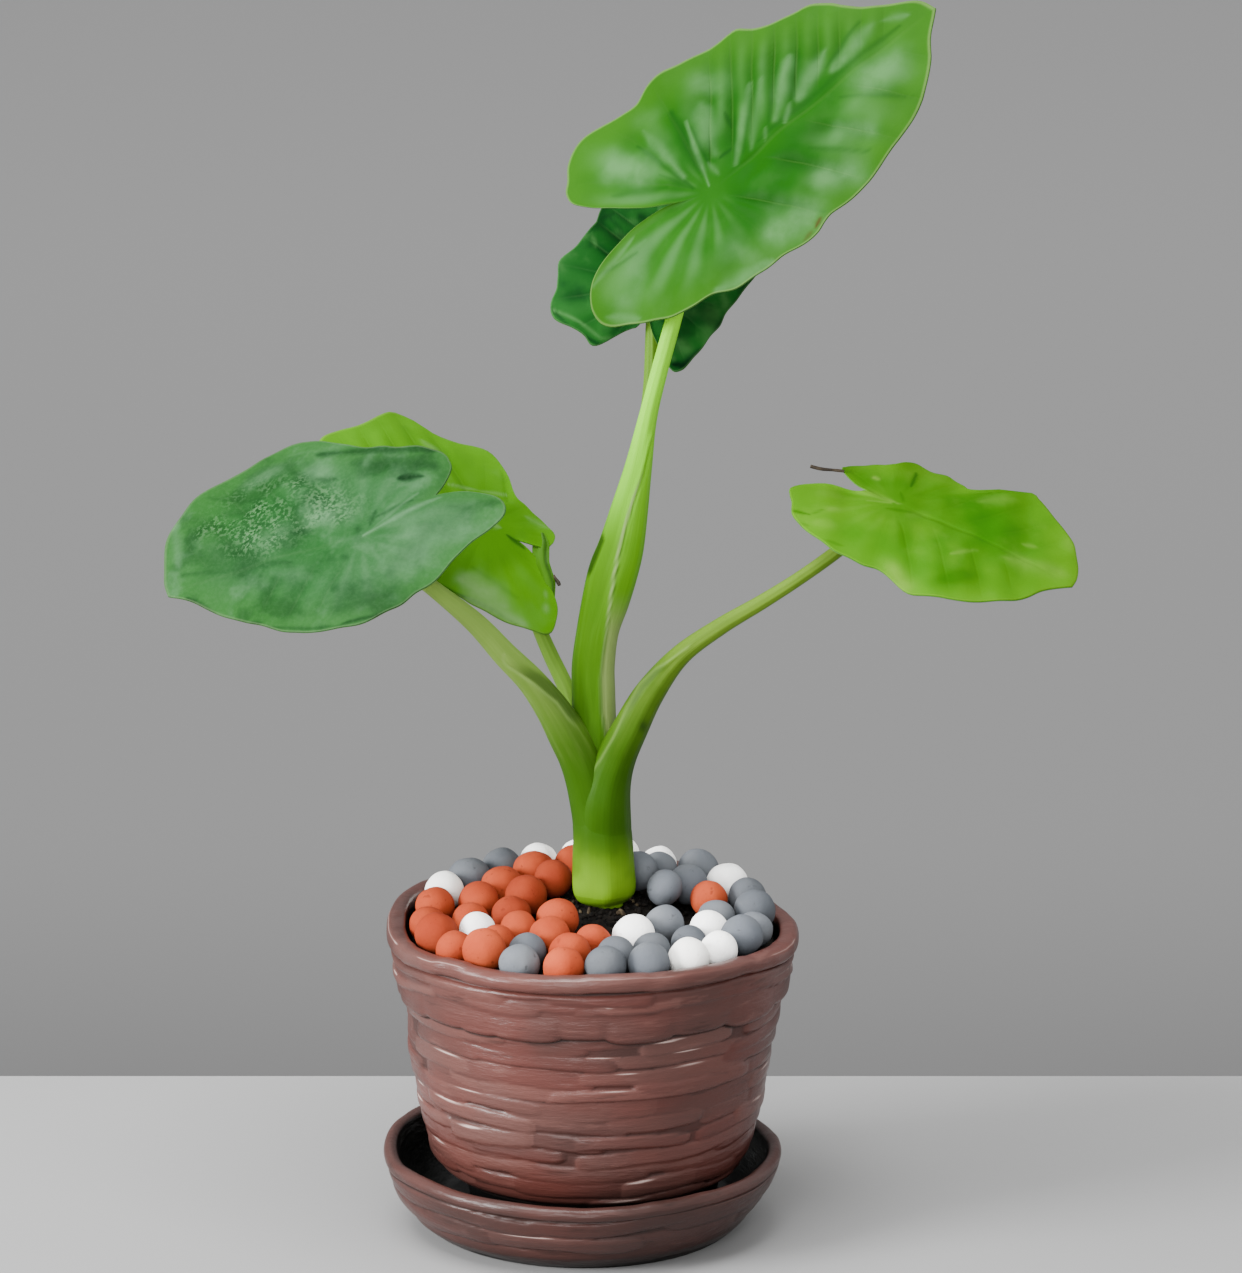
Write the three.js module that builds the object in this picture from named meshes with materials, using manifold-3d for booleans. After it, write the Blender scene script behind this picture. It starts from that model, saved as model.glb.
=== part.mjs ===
// A potted giant taro: a young plant of five leaves in a brown pot of laid-slate look, which
// stands in a matching saucer. The soil is hidden under coloured fired-clay beads.
// Millimetres, +Z up. X runs to the right, Y away from the front.
// The origin is the centre of the saucer's underside.
import * as THREE from 'three';
import { mergeVertices } from 'three/addons/utils/BufferGeometryUtils.js';
import Module from 'manifold-3d';

// Clearance between pieces that touch
const GAP = 0.35;

// Saucer
const SAUCER_HEIGHT = 25;
const SAUCER_RIM_RADIUS = 62.5;
const SAUCER_WALL = 4.2;
const SAUCER_FOOT_RADIUS = 47;
const SAUCER_FLOOR = 4;
const SAUCER_BACK_RISE = 2.6;

// Pot: its axis stands a little to the right of the saucer's
const POT_X = 2.6;
const POT_BASE_Z = SAUCER_FLOOR + GAP;
const POT_RIM_Z = 96;
const POT_RIM_RADIUS = 65;
const POT_FOOT_RADIUS = 38;
const POT_MOUTH_RADIUS = 58.6;
const POT_FLOOR = 5;
const POT_WAIST_Z = 19.6;
const POT_WAIST_RADIUS = 45.8;
const LEFT_BULGE = 1.5;
const DRAIN_RADIUS = 5;
const COLLAR_HEIGHT = 19;
const COLLAR_RADIUS = 62.2;
const LIP_HEIGHT = 6;
const RIM_BACK_RISE = 5.6;
const RIM_FRONT_RISE = 2.4;
const BODY_TOP_RADIUS = 58.6;
const COURSE_COUNT = 8;
const COURSE_DEPTH = 0.8;
const ROUND_SEGMENTS = 40;

// Soil and stem
const STEM_X = 6.2;
const STEM_Y = 12;
const STEM_FOOT_Z = 102;
const ROOT_DEPTH = 16;
const ROOT_RADIUS = 5;
const SOIL_EDGE_Z = 91.3;
const SOIL_MOUND = 8.8;
const SOIL_MOUND_SPREAD = 17;
const SOIL_BACK_RISE = 0.1;

// Beads
const BEAD_RADIUS = 6.35;
const BEAD_SPREAD = 0.6;
const BEAD_CLEARANCE = 0.4;
const STEM_ROOM = 10.2;
const NECK_RADIUS = 1.8;
const NECK_REACH = 14.6;
const RING_RADII = [51, 38.5, 25.4, 15];

// Leaves
const BLADE_THICKNESS = 1.0;
const MIDRIB_RISE = 1.3;
const BLADE_RINGS = 5;

const wasm = await Module();
wasm.setup();

const radians = THREE.MathUtils.degToRad;
const lerp = THREE.MathUtils.lerp;

// Finishes
function finish(color, roughness) {
  return new THREE.MeshStandardMaterial({ color, roughness, metalness: 0 });
}
const finishes = {
  pot: finish(0x7d524b, 0.4),
  saucer: finish(0x6b4842, 0.4),
  soil: finish(0x16130f, 0.9),
  terracotta: finish(0xc9654a, 0.85),
  white: finish(0xf2efe6, 0.8),
  grey: finish(0x74787f, 0.85),
  stem: finish(0x6f9a26, 0.45),
  petiole: finish(0x86a63c, 0.45),
  bladeMid: finish(0x3f8a2c, 0.4),
  bladeDark: finish(0x1f5e2b, 0.4),
  bladeBlue: finish(0x3c7f43, 0.4),
  bladeLime: finish(0x6fa81e, 0.4),
};

// A repeatable random number between 0 and 1
function randomSource(seed) {
  let state = seed;
  return () => {
    state = (state * 16807) % 2147483647;
    return state / 2147483647;
  };
}

// Welds a geometry's vertices and drops the triangles that this closes up.
function welded(geometry) {
  geometry.deleteAttribute('normal');
  geometry.deleteAttribute('uv');
  const merged = mergeVertices(geometry, 1e-4);
  const kept = [];
  const corners = merged.index.array;
  for (let i = 0; i < corners.length; i += 3) {
    const [a, b, c] = [corners[i], corners[i + 1], corners[i + 2]];
    if (a !== b && b !== c && c !== a) {
      kept.push(a, b, c);
    }
  }
  merged.setIndex(kept);
  return merged;
}

// Six times the volume inside a closed geometry, negative where its faces point inwards.
function signedVolume(geometry) {
  const position = geometry.attributes.position;
  const corners = geometry.index.array;
  const [a, b, c] = [new THREE.Vector3(), new THREE.Vector3(), new THREE.Vector3()];
  let total = 0;
  for (let i = 0; i < corners.length; i += 3) {
    a.fromBufferAttribute(position, corners[i]);
    b.fromBufferAttribute(position, corners[i + 1]);
    c.fromBufferAttribute(position, corners[i + 2]);
    total += a.dot(b.cross(c));
  }
  return total;
}

// Turns every face of a closed geometry outwards.
function facingOut(geometry) {
  if (signedVolume(geometry) < 0) {
    const corners = Array.from(geometry.index.array);
    for (let i = 0; i < corners.length; i += 3) {
      [corners[i + 1], corners[i + 2]] = [corners[i + 2], corners[i + 1]];
    }
    geometry.setIndex(corners);
  }
  return geometry;
}

// A closed geometry as a solid that can be joined and cut
function solidOf(geometry) {
  const closed = facingOut(welded(geometry));
  const vertProperties = new Float32Array(closed.attributes.position.array);
  const triVerts = new Uint32Array(closed.index.array);
  return new wasm.Manifold(new wasm.Mesh({ numProp: 3, vertProperties, triVerts }));
}

// The largest body of a solid, as a geometry
function geometryOf(solid) {
  const bodies = solid.decompose();
  bodies.sort((a, b) => b.volume() - a.volume());
  const mesh = bodies[0].getMesh();
  const geometry = new THREE.BufferGeometry();
  geometry.setAttribute('position', new THREE.BufferAttribute(new Float32Array(mesh.vertProperties), 3));
  geometry.setIndex(Array.from(mesh.triVerts));
  return geometry;
}

// A body of revolution about a vertical axis at (x, 0). Each row is [radius, height, relief], and
// the relief function gives the row's own change of radius and height at an angle.
function turned(rows, x, relief) {
  const outline = rows.map(([radius, height]) => new THREE.Vector2(radius, height));
  const geometry = new THREE.LatheGeometry(outline, ROUND_SEGMENTS);
  const position = geometry.attributes.position;
  for (let i = 0; i <= ROUND_SEGMENTS; i += 1) {
    const angle = ((i % ROUND_SEGMENTS) / ROUND_SEGMENTS) * 2 * Math.PI;
    rows.forEach(([radius, height, kind = 'plain', step = 0], j) => {
      const [out, up] = relief(kind, angle, step);
      const reach = radius > 0 ? radius + out : 0;
      position.setXYZ(
        i * rows.length + j,
        x + reach * Math.cos(angle),
        reach * Math.sin(angle),
        height + up,
      );
    });
  }
  return facingOut(welded(geometry));
}

// The slow unevenness of a hand-laid edge, between about -1 and 1
function unevenness(angle, step) {
  return (
    0.5 * Math.sin(3 * angle + 1.7 * step) +
    0.3 * Math.sin(5 * angle + 2.9 * step + 1) +
    0.2 * Math.sin(11 * angle + 4.1 * step)
  );
}

// The rims are formed by hand and stand higher at the back, the pot's a little at the front too:
// the share of such a rise at an angle, round the direction that it faces
function rimRise(angle, facing, sharpness) {
  const share = THREE.MathUtils.clamp(sharpness * Math.cos(angle - radians(facing)), 0, 1);
  return share * share * (3 - 2 * share);
}

// How pot and saucer depart from plain rounds: laid courses, a scalloped collar and a rolled lip,
// all a little fuller on the left
function slateRelief(kind, angle, step) {
  const wave = unevenness(angle, step);
  const rise = rimRise(angle, 110, 1.75);
  const front = RIM_FRONT_RISE * rimRise(angle, -90, 1.3);
  const fuller = LEFT_BULGE * Math.max(0, -Math.cos(angle));
  const reliefs = {
    plain: [0, 0],
    ridge: [0.45 * wave + fuller, 0.9 * unevenness(angle, 0.35 * step)],
    groove: [0.2 * wave + fuller, 0.9 * unevenness(angle, 0.35 * step)],
    scallop: [0.35 * wave, 1.5 * Math.abs(Math.sin(6.5 * angle + 0.6 * Math.sin(angle))) - 0.7],
    brow: [0.4 * wave, 0.5 * wave + 0.6 * RIM_BACK_RISE * rise + 1.4 * front],
    lip: [0.4 * wave, 0.5 * wave + RIM_BACK_RISE * rise + front],
    saucerLip: [0.4 * wave + fuller, 0.5 * wave + SAUCER_BACK_RISE * rise],
  };
  return reliefs[kind];
}

// Radius of the pot's body at a height above its recessed foot, before its relief
function potBodyRadius(z) {
  const body = new THREE.SplineCurve([
    new THREE.Vector2(POT_WAIST_Z, POT_WAIST_RADIUS),
    new THREE.Vector2(26, 49.6),
    new THREE.Vector2(40, 53.0),
    new THREE.Vector2(56, 56.0),
    new THREE.Vector2(POT_RIM_Z - COLLAR_HEIGHT, BODY_TOP_RADIUS),
  ]);
  let best = body.getPoint(0);
  for (let i = 1; i <= 100; i += 1) {
    const point = body.getPoint(i / 100);
    if (Math.abs(point.x - z) < Math.abs(best.x - z)) {
      best = point;
    }
  }
  return best.y;
}

// Radius of the pot's inside at a height
function potInsideRadius(z) {
  const low = POT_FOOT_RADIUS - 3;
  const share = (z - POT_BASE_Z - POT_FLOOR) / (POT_RIM_Z - 1 - POT_BASE_Z - POT_FLOOR);
  return lerp(low, POT_MOUTH_RADIUS, share);
}

function makePot() {
  const rows = [
    [DRAIN_RADIUS, POT_BASE_Z],
    [POT_FOOT_RADIUS - 1.5, POT_BASE_Z],
    [POT_FOOT_RADIUS, POT_BASE_Z + 1],
    [POT_FOOT_RADIUS + 2.4, POT_WAIST_Z - 1.6],
    [POT_WAIST_RADIUS - 1.4, POT_WAIST_Z - 0.8, 'groove', 0],
  ];
  const collarZ = POT_RIM_Z - COLLAR_HEIGHT;
  const courseHeight = (collarZ - 3 - POT_WAIST_Z) / COURSE_COUNT;
  for (let course = 0; course < COURSE_COUNT; course += 1) {
    const z = POT_WAIST_Z + course * courseHeight;
    rows.push([potBodyRadius(z + 1.6) + COURSE_DEPTH, z + 1.6, 'ridge', course]);
    rows.push([potBodyRadius(z + courseHeight) - 0.3, z + courseHeight, 'groove', course]);
  }
  rows.push(
    [BODY_TOP_RADIUS - 0.3, collarZ - 0.4, 'scallop', 9],
    [COLLAR_RADIUS - 1.6, collarZ, 'scallop', 9],
    [COLLAR_RADIUS, collarZ + 3, 'scallop', 9],
    [COLLAR_RADIUS + 0.3, POT_RIM_Z - LIP_HEIGHT - 1.8, 'brow', 10],
    [COLLAR_RADIUS - 0.1, POT_RIM_Z - LIP_HEIGHT, 'brow', 10],
    [POT_RIM_RADIUS - 0.8, POT_RIM_Z - LIP_HEIGHT + 1.4, 'brow', 11],
    [POT_RIM_RADIUS, POT_RIM_Z - 2.4, 'lip', 11],
    [POT_RIM_RADIUS - 0.9, POT_RIM_Z - 0.4, 'lip', 11],
    [POT_RIM_RADIUS - 3.4, POT_RIM_Z + 0.4, 'lip', 11],
    [POT_MOUTH_RADIUS, POT_RIM_Z - 1, 'lip', 12],
    [potInsideRadius(POT_RIM_Z - 3), POT_RIM_Z - 3],
    [potInsideRadius(POT_BASE_Z + POT_FLOOR), POT_BASE_Z + POT_FLOOR],
    [DRAIN_RADIUS, POT_BASE_Z + POT_FLOOR],
    [DRAIN_RADIUS, POT_BASE_Z],
  );
  return turned(rows, POT_X, slateRelief);
}

function makeSaucer() {
  const middle = 0.5 * SAUCER_HEIGHT;
  const rows = [
    [0, 0],
    [SAUCER_FOOT_RADIUS, 0],
    [SAUCER_FOOT_RADIUS + 2.4, 1.4, 'groove', 21],
    [SAUCER_FOOT_RADIUS + 6.2, 4.8, 'ridge', 21],
    [SAUCER_FOOT_RADIUS + 7.2, middle - 4.2, 'groove', 22],
    [SAUCER_FOOT_RADIUS + 10.6, middle - 1, 'ridge', 22],
    [SAUCER_FOOT_RADIUS + 11.4, middle + 3, 'groove', 23],
    [SAUCER_RIM_RADIUS - 1.4, middle + 5, 'ridge', 23],
    [SAUCER_RIM_RADIUS, SAUCER_HEIGHT - 3.6, 'saucerLip', 24],
    [SAUCER_RIM_RADIUS - 0.8, SAUCER_HEIGHT - 0.9, 'saucerLip', 24],
    [SAUCER_RIM_RADIUS - 2.4, SAUCER_HEIGHT - 0.4, 'saucerLip', 24],
    [SAUCER_RIM_RADIUS - SAUCER_WALL, SAUCER_HEIGHT - 1.6, 'saucerLip', 24],
    [SAUCER_RIM_RADIUS - SAUCER_WALL - 2.4, middle + 2],
    [SAUCER_FOOT_RADIUS + 2, SAUCER_FLOOR + 1.6],
    [SAUCER_FOOT_RADIUS - 1, SAUCER_FLOOR],
    [0, SAUCER_FLOOR],
  ];
  return turned(rows, 0, slateRelief);
}

// Height of the soil's top at a place: higher at the back, and heaped round the stem
function soilTop(x, y) {
  const squared = (x - STEM_X) * (x - STEM_X) + (y - STEM_Y) * (y - STEM_Y);
  const mound = SOIL_MOUND * Math.exp((-0.5 * squared) / (SOIL_MOUND_SPREAD * SOIL_MOUND_SPREAD));
  return SOIL_EDGE_Z + mound + SOIL_BACK_RISE * Math.max(y, 0);
}

function makeSoil() {
  const rows = [[0, POT_BASE_Z + POT_FLOOR + GAP]];
  [POT_BASE_Z + POT_FLOOR + GAP, SOIL_EDGE_Z].forEach((z) => {
    rows.push([potInsideRadius(z) - GAP, z]);
  });
  [46, 36, 27, 19, 11].forEach((radius) => rows.push([radius, SOIL_EDGE_Z, 'mound']));
  rows.push([0, SOIL_EDGE_Z, 'mound']);
  const plug = turned(rows, POT_X, () => [0, 0]);
  const position = plug.attributes.position;
  for (let i = 0; i < position.count; i += 1) {
    if (position.getZ(i) > SOIL_EDGE_Z - 0.1) {
      position.setZ(i, soilTop(position.getX(i), position.getY(i)));
    }
  }
  return geometryOf(solidOf(plug).subtract(solidOf(limb(STEM_STATIONS, 16, 14, GAP))));
}

// A limb of the plant along a smooth curve. Each station is [x, y, z, half width, half depth],
// and grow widens the whole limb, for the room that it takes from its neighbours.
function limb(stations, sides, steps, grow) {
  const middle = new THREE.CatmullRomCurve3(stations.map(([x, y, z]) => new THREE.Vector3(x, y, z)));
  const section = new THREE.SplineCurve(stations.map((s) => new THREE.Vector2(s[3], s[4])));
  const geometry = new THREE.CylinderGeometry(1, 1, 1, sides, steps);
  const position = geometry.attributes.position;
  const place = new THREE.Vector3();
  for (let i = 0; i < position.count; i += 1) {
    const share = position.getY(i) + 0.5;
    const along = middle.getTangent(share);
    const front = new THREE.Vector3(0, -1, 0).addScaledVector(along, along.y).normalize();
    const side = new THREE.Vector3().crossVectors(along, front);
    const size = section.getPoint(share);
    place.copy(middle.getPoint(share));
    place.addScaledVector(side, position.getX(i) * (size.x + grow));
    place.addScaledVector(front, position.getZ(i) * (size.y + grow));
    place.addScaledVector(along, (share === 0 ? -1 : Number(share === 1)) * grow);
    position.setXYZ(i, place.x, place.y, place.z);
  }
  return geometry;
}

// The short stem: sheaths wrapped on each other, round at the foot, with a root in the soil
const STEM_STATIONS = [
  [STEM_X, STEM_Y, STEM_FOOT_Z - ROOT_DEPTH, ROOT_RADIUS - 1.2, ROOT_RADIUS - 1.2],
  [STEM_X, STEM_Y, STEM_FOOT_Z - 1, ROOT_RADIUS - 0.6, ROOT_RADIUS - 0.6],
  [STEM_X, STEM_Y, STEM_FOOT_Z + 0.4, 7.4, 6.8],
  [6.1, STEM_Y, STEM_FOOT_Z + 3, 9.4, 8.6],
  [6.0, STEM_Y, 109, 9.9, 9.0],
  [5.7, STEM_Y, 122, 9.3, 8.6],
  [4.9, STEM_Y, 134, 9.5, 8.6],
  [4.2, STEM_Y, 142, 10.4, 8.5],
  [4.0, STEM_Y, 148, 10.6, 8.0],
  [4.2, STEM_Y, 152, 8.0, 6.0],
];

// Leaf stalks, listed from the outermost sheath to the innermost
const PETIOLES = {
  right: [
    [6.6, 10.0, 138, 6.4, 6.2],
    [9.3, 8.4, 147, 6.6, 6.2],
    [13.9, 6.0, 158, 5.9, 5.2],
    [20.2, 4.2, 170.5, 4.7, 4.2],
    [29.6, 2.2, 183.0, 3.3, 3.2],
    [41.8, 0.4, 192.6, 2.7, 2.7],
    [55, -1.0, 201, 2.3, 2.3],
    [66.5, -2.0, 208.8, 2.1, 2.1],
    [77.6, -2.0, 217, 2.1, 2.1],
    [87.6, -1.0, 225.4, 2.1, 2.1],
    [94.9, 0.2, 231.2, 2.2, 2.2],
  ],
  left: [
    [1.6, 11.4, 138, 6.4, 6.0],
    [-1.4, 10.6, 146, 6.6, 6.0],
    [-5.2, 8.4, 155, 6.3, 5.4],
    [-10.2, 5.4, 165.6, 5.3, 4.7],
    [-16.6, 1.4, 175.4, 4.4, 4.1],
    [-24.4, -2.6, 184.6, 3.9, 3.7],
    [-33.6, -6.6, 195.8, 3.3, 3.1],
    [-46.4, -11.0, 207.8, 2.5, 2.4],
    [-57.6, -13.6, 217.0, 2.2, 2.2],
    [-67.5, -14.6, 224.6, 2.2, 2.2],
  ],
  tall: [
    [4.2, 13.6, 140, 6.2, 5.4],
    [3.4, 13.4, 152, 6.7, 5.4],
    [2.8, 12.6, 166, 6.8, 5.2],
    [2.8, 12.0, 178, 6.7, 5.0],
    [4.2, 11.2, 189, 6.6, 5.0],
    [6.7, 10.5, 199, 7.4, 5.1],
    [9.0, 9.8, 208, 7.7, 5.0],
    [11.4, 9.2, 216, 7.1, 4.8],
    [14.0, 8.2, 228, 5.8, 4.3],
    [16.8, 7.0, 242, 4.2, 3.7],
    [19.6, 5.6, 257.5, 2.9, 2.9],
    [23.0, 4.0, 272, 2.6, 2.6],
    [27.2, 2.8, 288, 2.5, 2.5],
    [32.6, 1.8, 309, 2.4, 2.4],
    [38.5, 0.6, 328.0, 2.4, 2.4],
  ],
  left_rear: [
    [2.0, 15.6, 144, 3.4, 3.4],
    [-1.2, 18.0, 155, 3.0, 3.0],
    [-5.8, 20.6, 168, 2.4, 2.5],
    [-10.6, 23.0, 178, 2.3, 2.3],
    [-14.6, 25.4, 187, 2.2, 2.2],
    [-20.4, 28.2, 202, 2.2, 2.2],
    [-29.9, 28.6, 217.8, 2.2, 2.2],
  ],
  rear: [
    [7.6, 12.6, 204, 2.6, 2.6],
    [12.8, 15.8, 222, 2.6, 2.6],
    [17.6, 19.6, 242, 2.5, 2.5],
    [20.4, 23.4, 262, 2.3, 2.3],
    [21.2, 27.0, 281, 2.2, 2.2],
    [20.6, 31.4, 293.2, 2.2, 2.2],
  ],
};

// Cuts the room of the pieces outside it from each stalk, so that sheath lies on sheath, and the
// room of its own blade from its top.
function makeStemAndPetioles() {
  const stem = limb(STEM_STATIONS, 16, 14, 0);
  const made = { stem: geometryOf(solidOf(stem)) };
  const taken = [solidOf(limb(STEM_STATIONS, 16, 14, GAP))];
  Object.entries(PETIOLES).forEach(([name, stations]) => {
    const steps = 2 * stations.length - 2;
    let stalk = solidOf(limb(stations, 10, steps, 0));
    const blade = solidOf(makeBlade(BLADES[name], 2 * GAP));
    [...taken, blade].forEach((room) => {
      stalk = stalk.subtract(room);
    });
    made[`petiole_${name}`] = geometryOf(stalk);
    taken.push(solidOf(limb(stations, 10, steps, GAP)));
  });
  return made;
}

// Where an outline's radii are given, as shares of the way from the tip round to the notch
const OUTLINE_SHARES = [
  0, 0.025, 0.05, 0.08, 0.11, 0.14, 0.17, 0.2, 0.235, 0.252, 0.265, 0.285, 0.31, 0.35,
  0.4, 0.45, 0.5, 0.55, 0.6, 0.65, 0.7, 0.75, 0.8, 0.84, 0.87, 0.9, 0.93, 0.965, 1,
];

// Leaf blades. The junction with the stalk is the centre of the outline; along points to the tip
// and facing out of the upper side. The notch is at an angle from the tip, measured on the left.
// The radii run from tip to notch. Fold lifts each half from the midrib and bow bends it down,
// nod bends the tip down and drop the lobes; waves run round the margin.
const BLADES = {
  tall: {
    junction: [38.7, 0, 328.6], along: [0.739, 0.034, 0.673], facing: [-0.432, -0.743, 0.512],
    notch: 152, spokes: 28,
    left: [
      88, 85.9, 79.8, 74.1, 71, 69.8, 67.6, 62.4, 57.8, 56.7, 56.2, 55.8, 55.4, 51.9,
      49, 47.2, 47.3, 46, 43.9, 45.8, 51, 55.7, 56, 53.8, 53, 48.4, 34, 22, 12,
    ],
    right: [
      88, 81.8, 77.9, 72.6, 66.9, 60.8, 55.6, 50.9, 46.6, 44.3, 42.6, 41.5, 40.9, 38.7,
      35.3, 33.4, 32.8, 33.4, 34.2, 36.8, 39.7, 42.2, 46.7, 51.3, 52.7, 51.5, 46, 31, 12,
    ],
    fold: [0.1, 0.1], bow: [0.1, 0.1], nod: 0.1, drop: 0.1, waves: 5, waveDepth: 1.2,
  },
  left: {
    junction: [-67.7, -15, 225.1], along: [-0.952, 0.147, -0.27], facing: [-0.301, -0.622, 0.723],
    notch: 204, spokes: 26,
    left: [
      66, 58.3, 54, 49.8, 46.1, 43.5, 41.2, 39.2, 37.4, 36.7, 36.3, 35.6, 34.9, 34,
      32.8, 31.2, 30, 29.6, 29.4, 30.6, 32.1, 33.3, 36.2, 41.1, 44.6, 45, 42, 35, 26,
    ],
    right: [
      66, 67.2, 67.5, 68.1, 68.9, 69.1, 68.1, 66.8, 63, 61.3, 60.1, 58.5, 57, 56.4,
      54.3, 49.4, 43.2, 38.6, 36.3, 35, 34.6, 35.5, 36.9, 37.2, 37.2, 36.7, 35.5, 31, 26,
    ],
    fold: [0.05, 0.05], bow: [0.12, 0.12], nod: 0.1, drop: 0.06, waves: 4, waveDepth: 1.0,
  },
  left_rear: {
    junction: [-30.1, 28, 218.3], along: [-0.949, -0.049, 0.312], facing: [0.253, -0.709, 0.658],
    notch: 168, spokes: 26,
    left: [
      60, 55.9, 52, 47.8, 44, 40.7, 37.8, 35.2, 32.4, 31.2, 30.3, 29.2, 28.2, 27.1,
      25.8, 26, 26.8, 28.2, 30.1, 32.2, 35.1, 37.1, 39.5, 36.3, 32.8, 27.6, 23.2, 18.5, 10,
    ],
    right: [
      60, 60.1, 60, 59.6, 59.9, 58.5, 56.1, 55.2, 56, 56.6, 56.2, 52, 44, 39.5,
      38.2, 35, 27.2, 20.5, 18, 17.5, 18.3, 19.6, 20.9, 21.4, 21.5, 21.6, 21.4, 19, 10,
    ],
    fold: [-0.05, -0.4], bow: [0.05, 0.05], nod: 0.1, drop: 0.05, waves: 5, waveDepth: 1.2,
  },
  right: {
    junction: [95, 0, 231.7], along: [0.91, -0.317, -0.269], facing: [0.12, -0.42, 0.9],
    notch: 168, spokes: 26,
    left: [
      61, 61, 60.3, 58.6, 57.2, 54.6, 51.6, 49.5, 47.8, 46.6, 32.5, 27.2, 26.6, 25.8,
      25.4, 23.3, 23.3, 22.7, 20.7, 18.2, 18.5, 19.2, 20.5, 21.9, 22.6, 23.2, 23.2, 17.5, 9,
    ],
    right: [
      61, 57.1, 54.7, 53.4, 52, 50.3, 48.4, 46.5, 43.8, 42.6, 41.8, 40.3, 38.3, 34.1,
      30.6, 30.3, 30.2, 30.9, 31.2, 31.1, 31.6, 32, 31.8, 32.2, 31.3, 23.5, 13, 10.5, 9,
    ],
    fold: [0.08, 0.08], bow: [0.12, 0.16], nod: 0.1, drop: 0.05, waves: 5, waveDepth: 1.0,
  },
  rear: {
    junction: [20.6, 31, 293.6], along: [0.093, 0.597, 0.796], facing: [0, -0.8, 0.6],
    notch: 180, spokes: 24,
    left: [
      61, 56.6, 52, 45.6, 40, 36.2, 33.3, 30.5, 27.9, 27.6, 27.6, 27.4, 27.1, 27.1,
      28.1, 29.6, 29.6, 29.6, 32.1, 32.1, 29.3, 27, 26.6, 20.2, 17, 15.7, 15, 11.6, 8,
    ],
    right: [
      61, 57.5, 54, 49.7, 46, 43.6, 41.9, 40.6, 39.9, 39.7, 39.5, 39.1, 38.7, 38.1,
      36.5, 32.1, 29, 27, 26, 25.6, 25.3, 26.1, 27.7, 29.1, 29.7, 28.9, 22, 15.6, 8,
    ],
    fold: [0.12, 0.12], bow: [0.05, 0.05], nod: 0.1, drop: 0.05, waves: 5, waveDepth: 1.0,
  },
};

// A smooth curve through a blade's radii at their shares
function outlineRadius(radii, share) {
  let k = 0;
  while (k < OUTLINE_SHARES.length - 2 && share > OUTLINE_SHARES[k + 1]) {
    k += 1;
  }
  const [s0, s1] = [OUTLINE_SHARES[k], OUTLINE_SHARES[k + 1]];
  const slope = (i) => {
    const low = Math.max(i - 1, 0);
    const high = Math.min(i + 1, radii.length - 1);
    return (radii[high] - radii[low]) / (OUTLINE_SHARES[high] - OUTLINE_SHARES[low]);
  };
  const t = (share - s0) / (s1 - s0);
  const h = s1 - s0;
  const [t2, t3] = [t * t, t * t * t];
  return (
    (2 * t3 - 3 * t2 + 1) * radii[k] + (t3 - 2 * t2 + t) * h * slope(k) +
    (3 * t2 - 2 * t3) * radii[k + 1] + (t3 - t2) * h * slope(k + 1)
  );
}

// Height of a blade's middle surface over its own plane. a runs along the midrib, b to the left,
// reach is the share of the way from the junction to the margin, angle the way round from the tip.
function bladeHeight(leaf, a, b, reach, angle) {
  const half = b >= 0 ? 0 : 1;
  const lift = leaf.fold[half] * (Math.sqrt(b * b + 16) - 4);
  const bend = (leaf.bow[half] * b * b) / 35;
  const nod = (leaf.nod * Math.max(a, 0) ** 2) / leaf.left[0];
  const drop = (leaf.drop * Math.min(a, 0) ** 2) / 25;
  const wave = leaf.waveDepth * reach ** 3 * Math.sin(leaf.waves * angle + leaf.notch);
  return lift - bend - nod - drop + wave;
}

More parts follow.
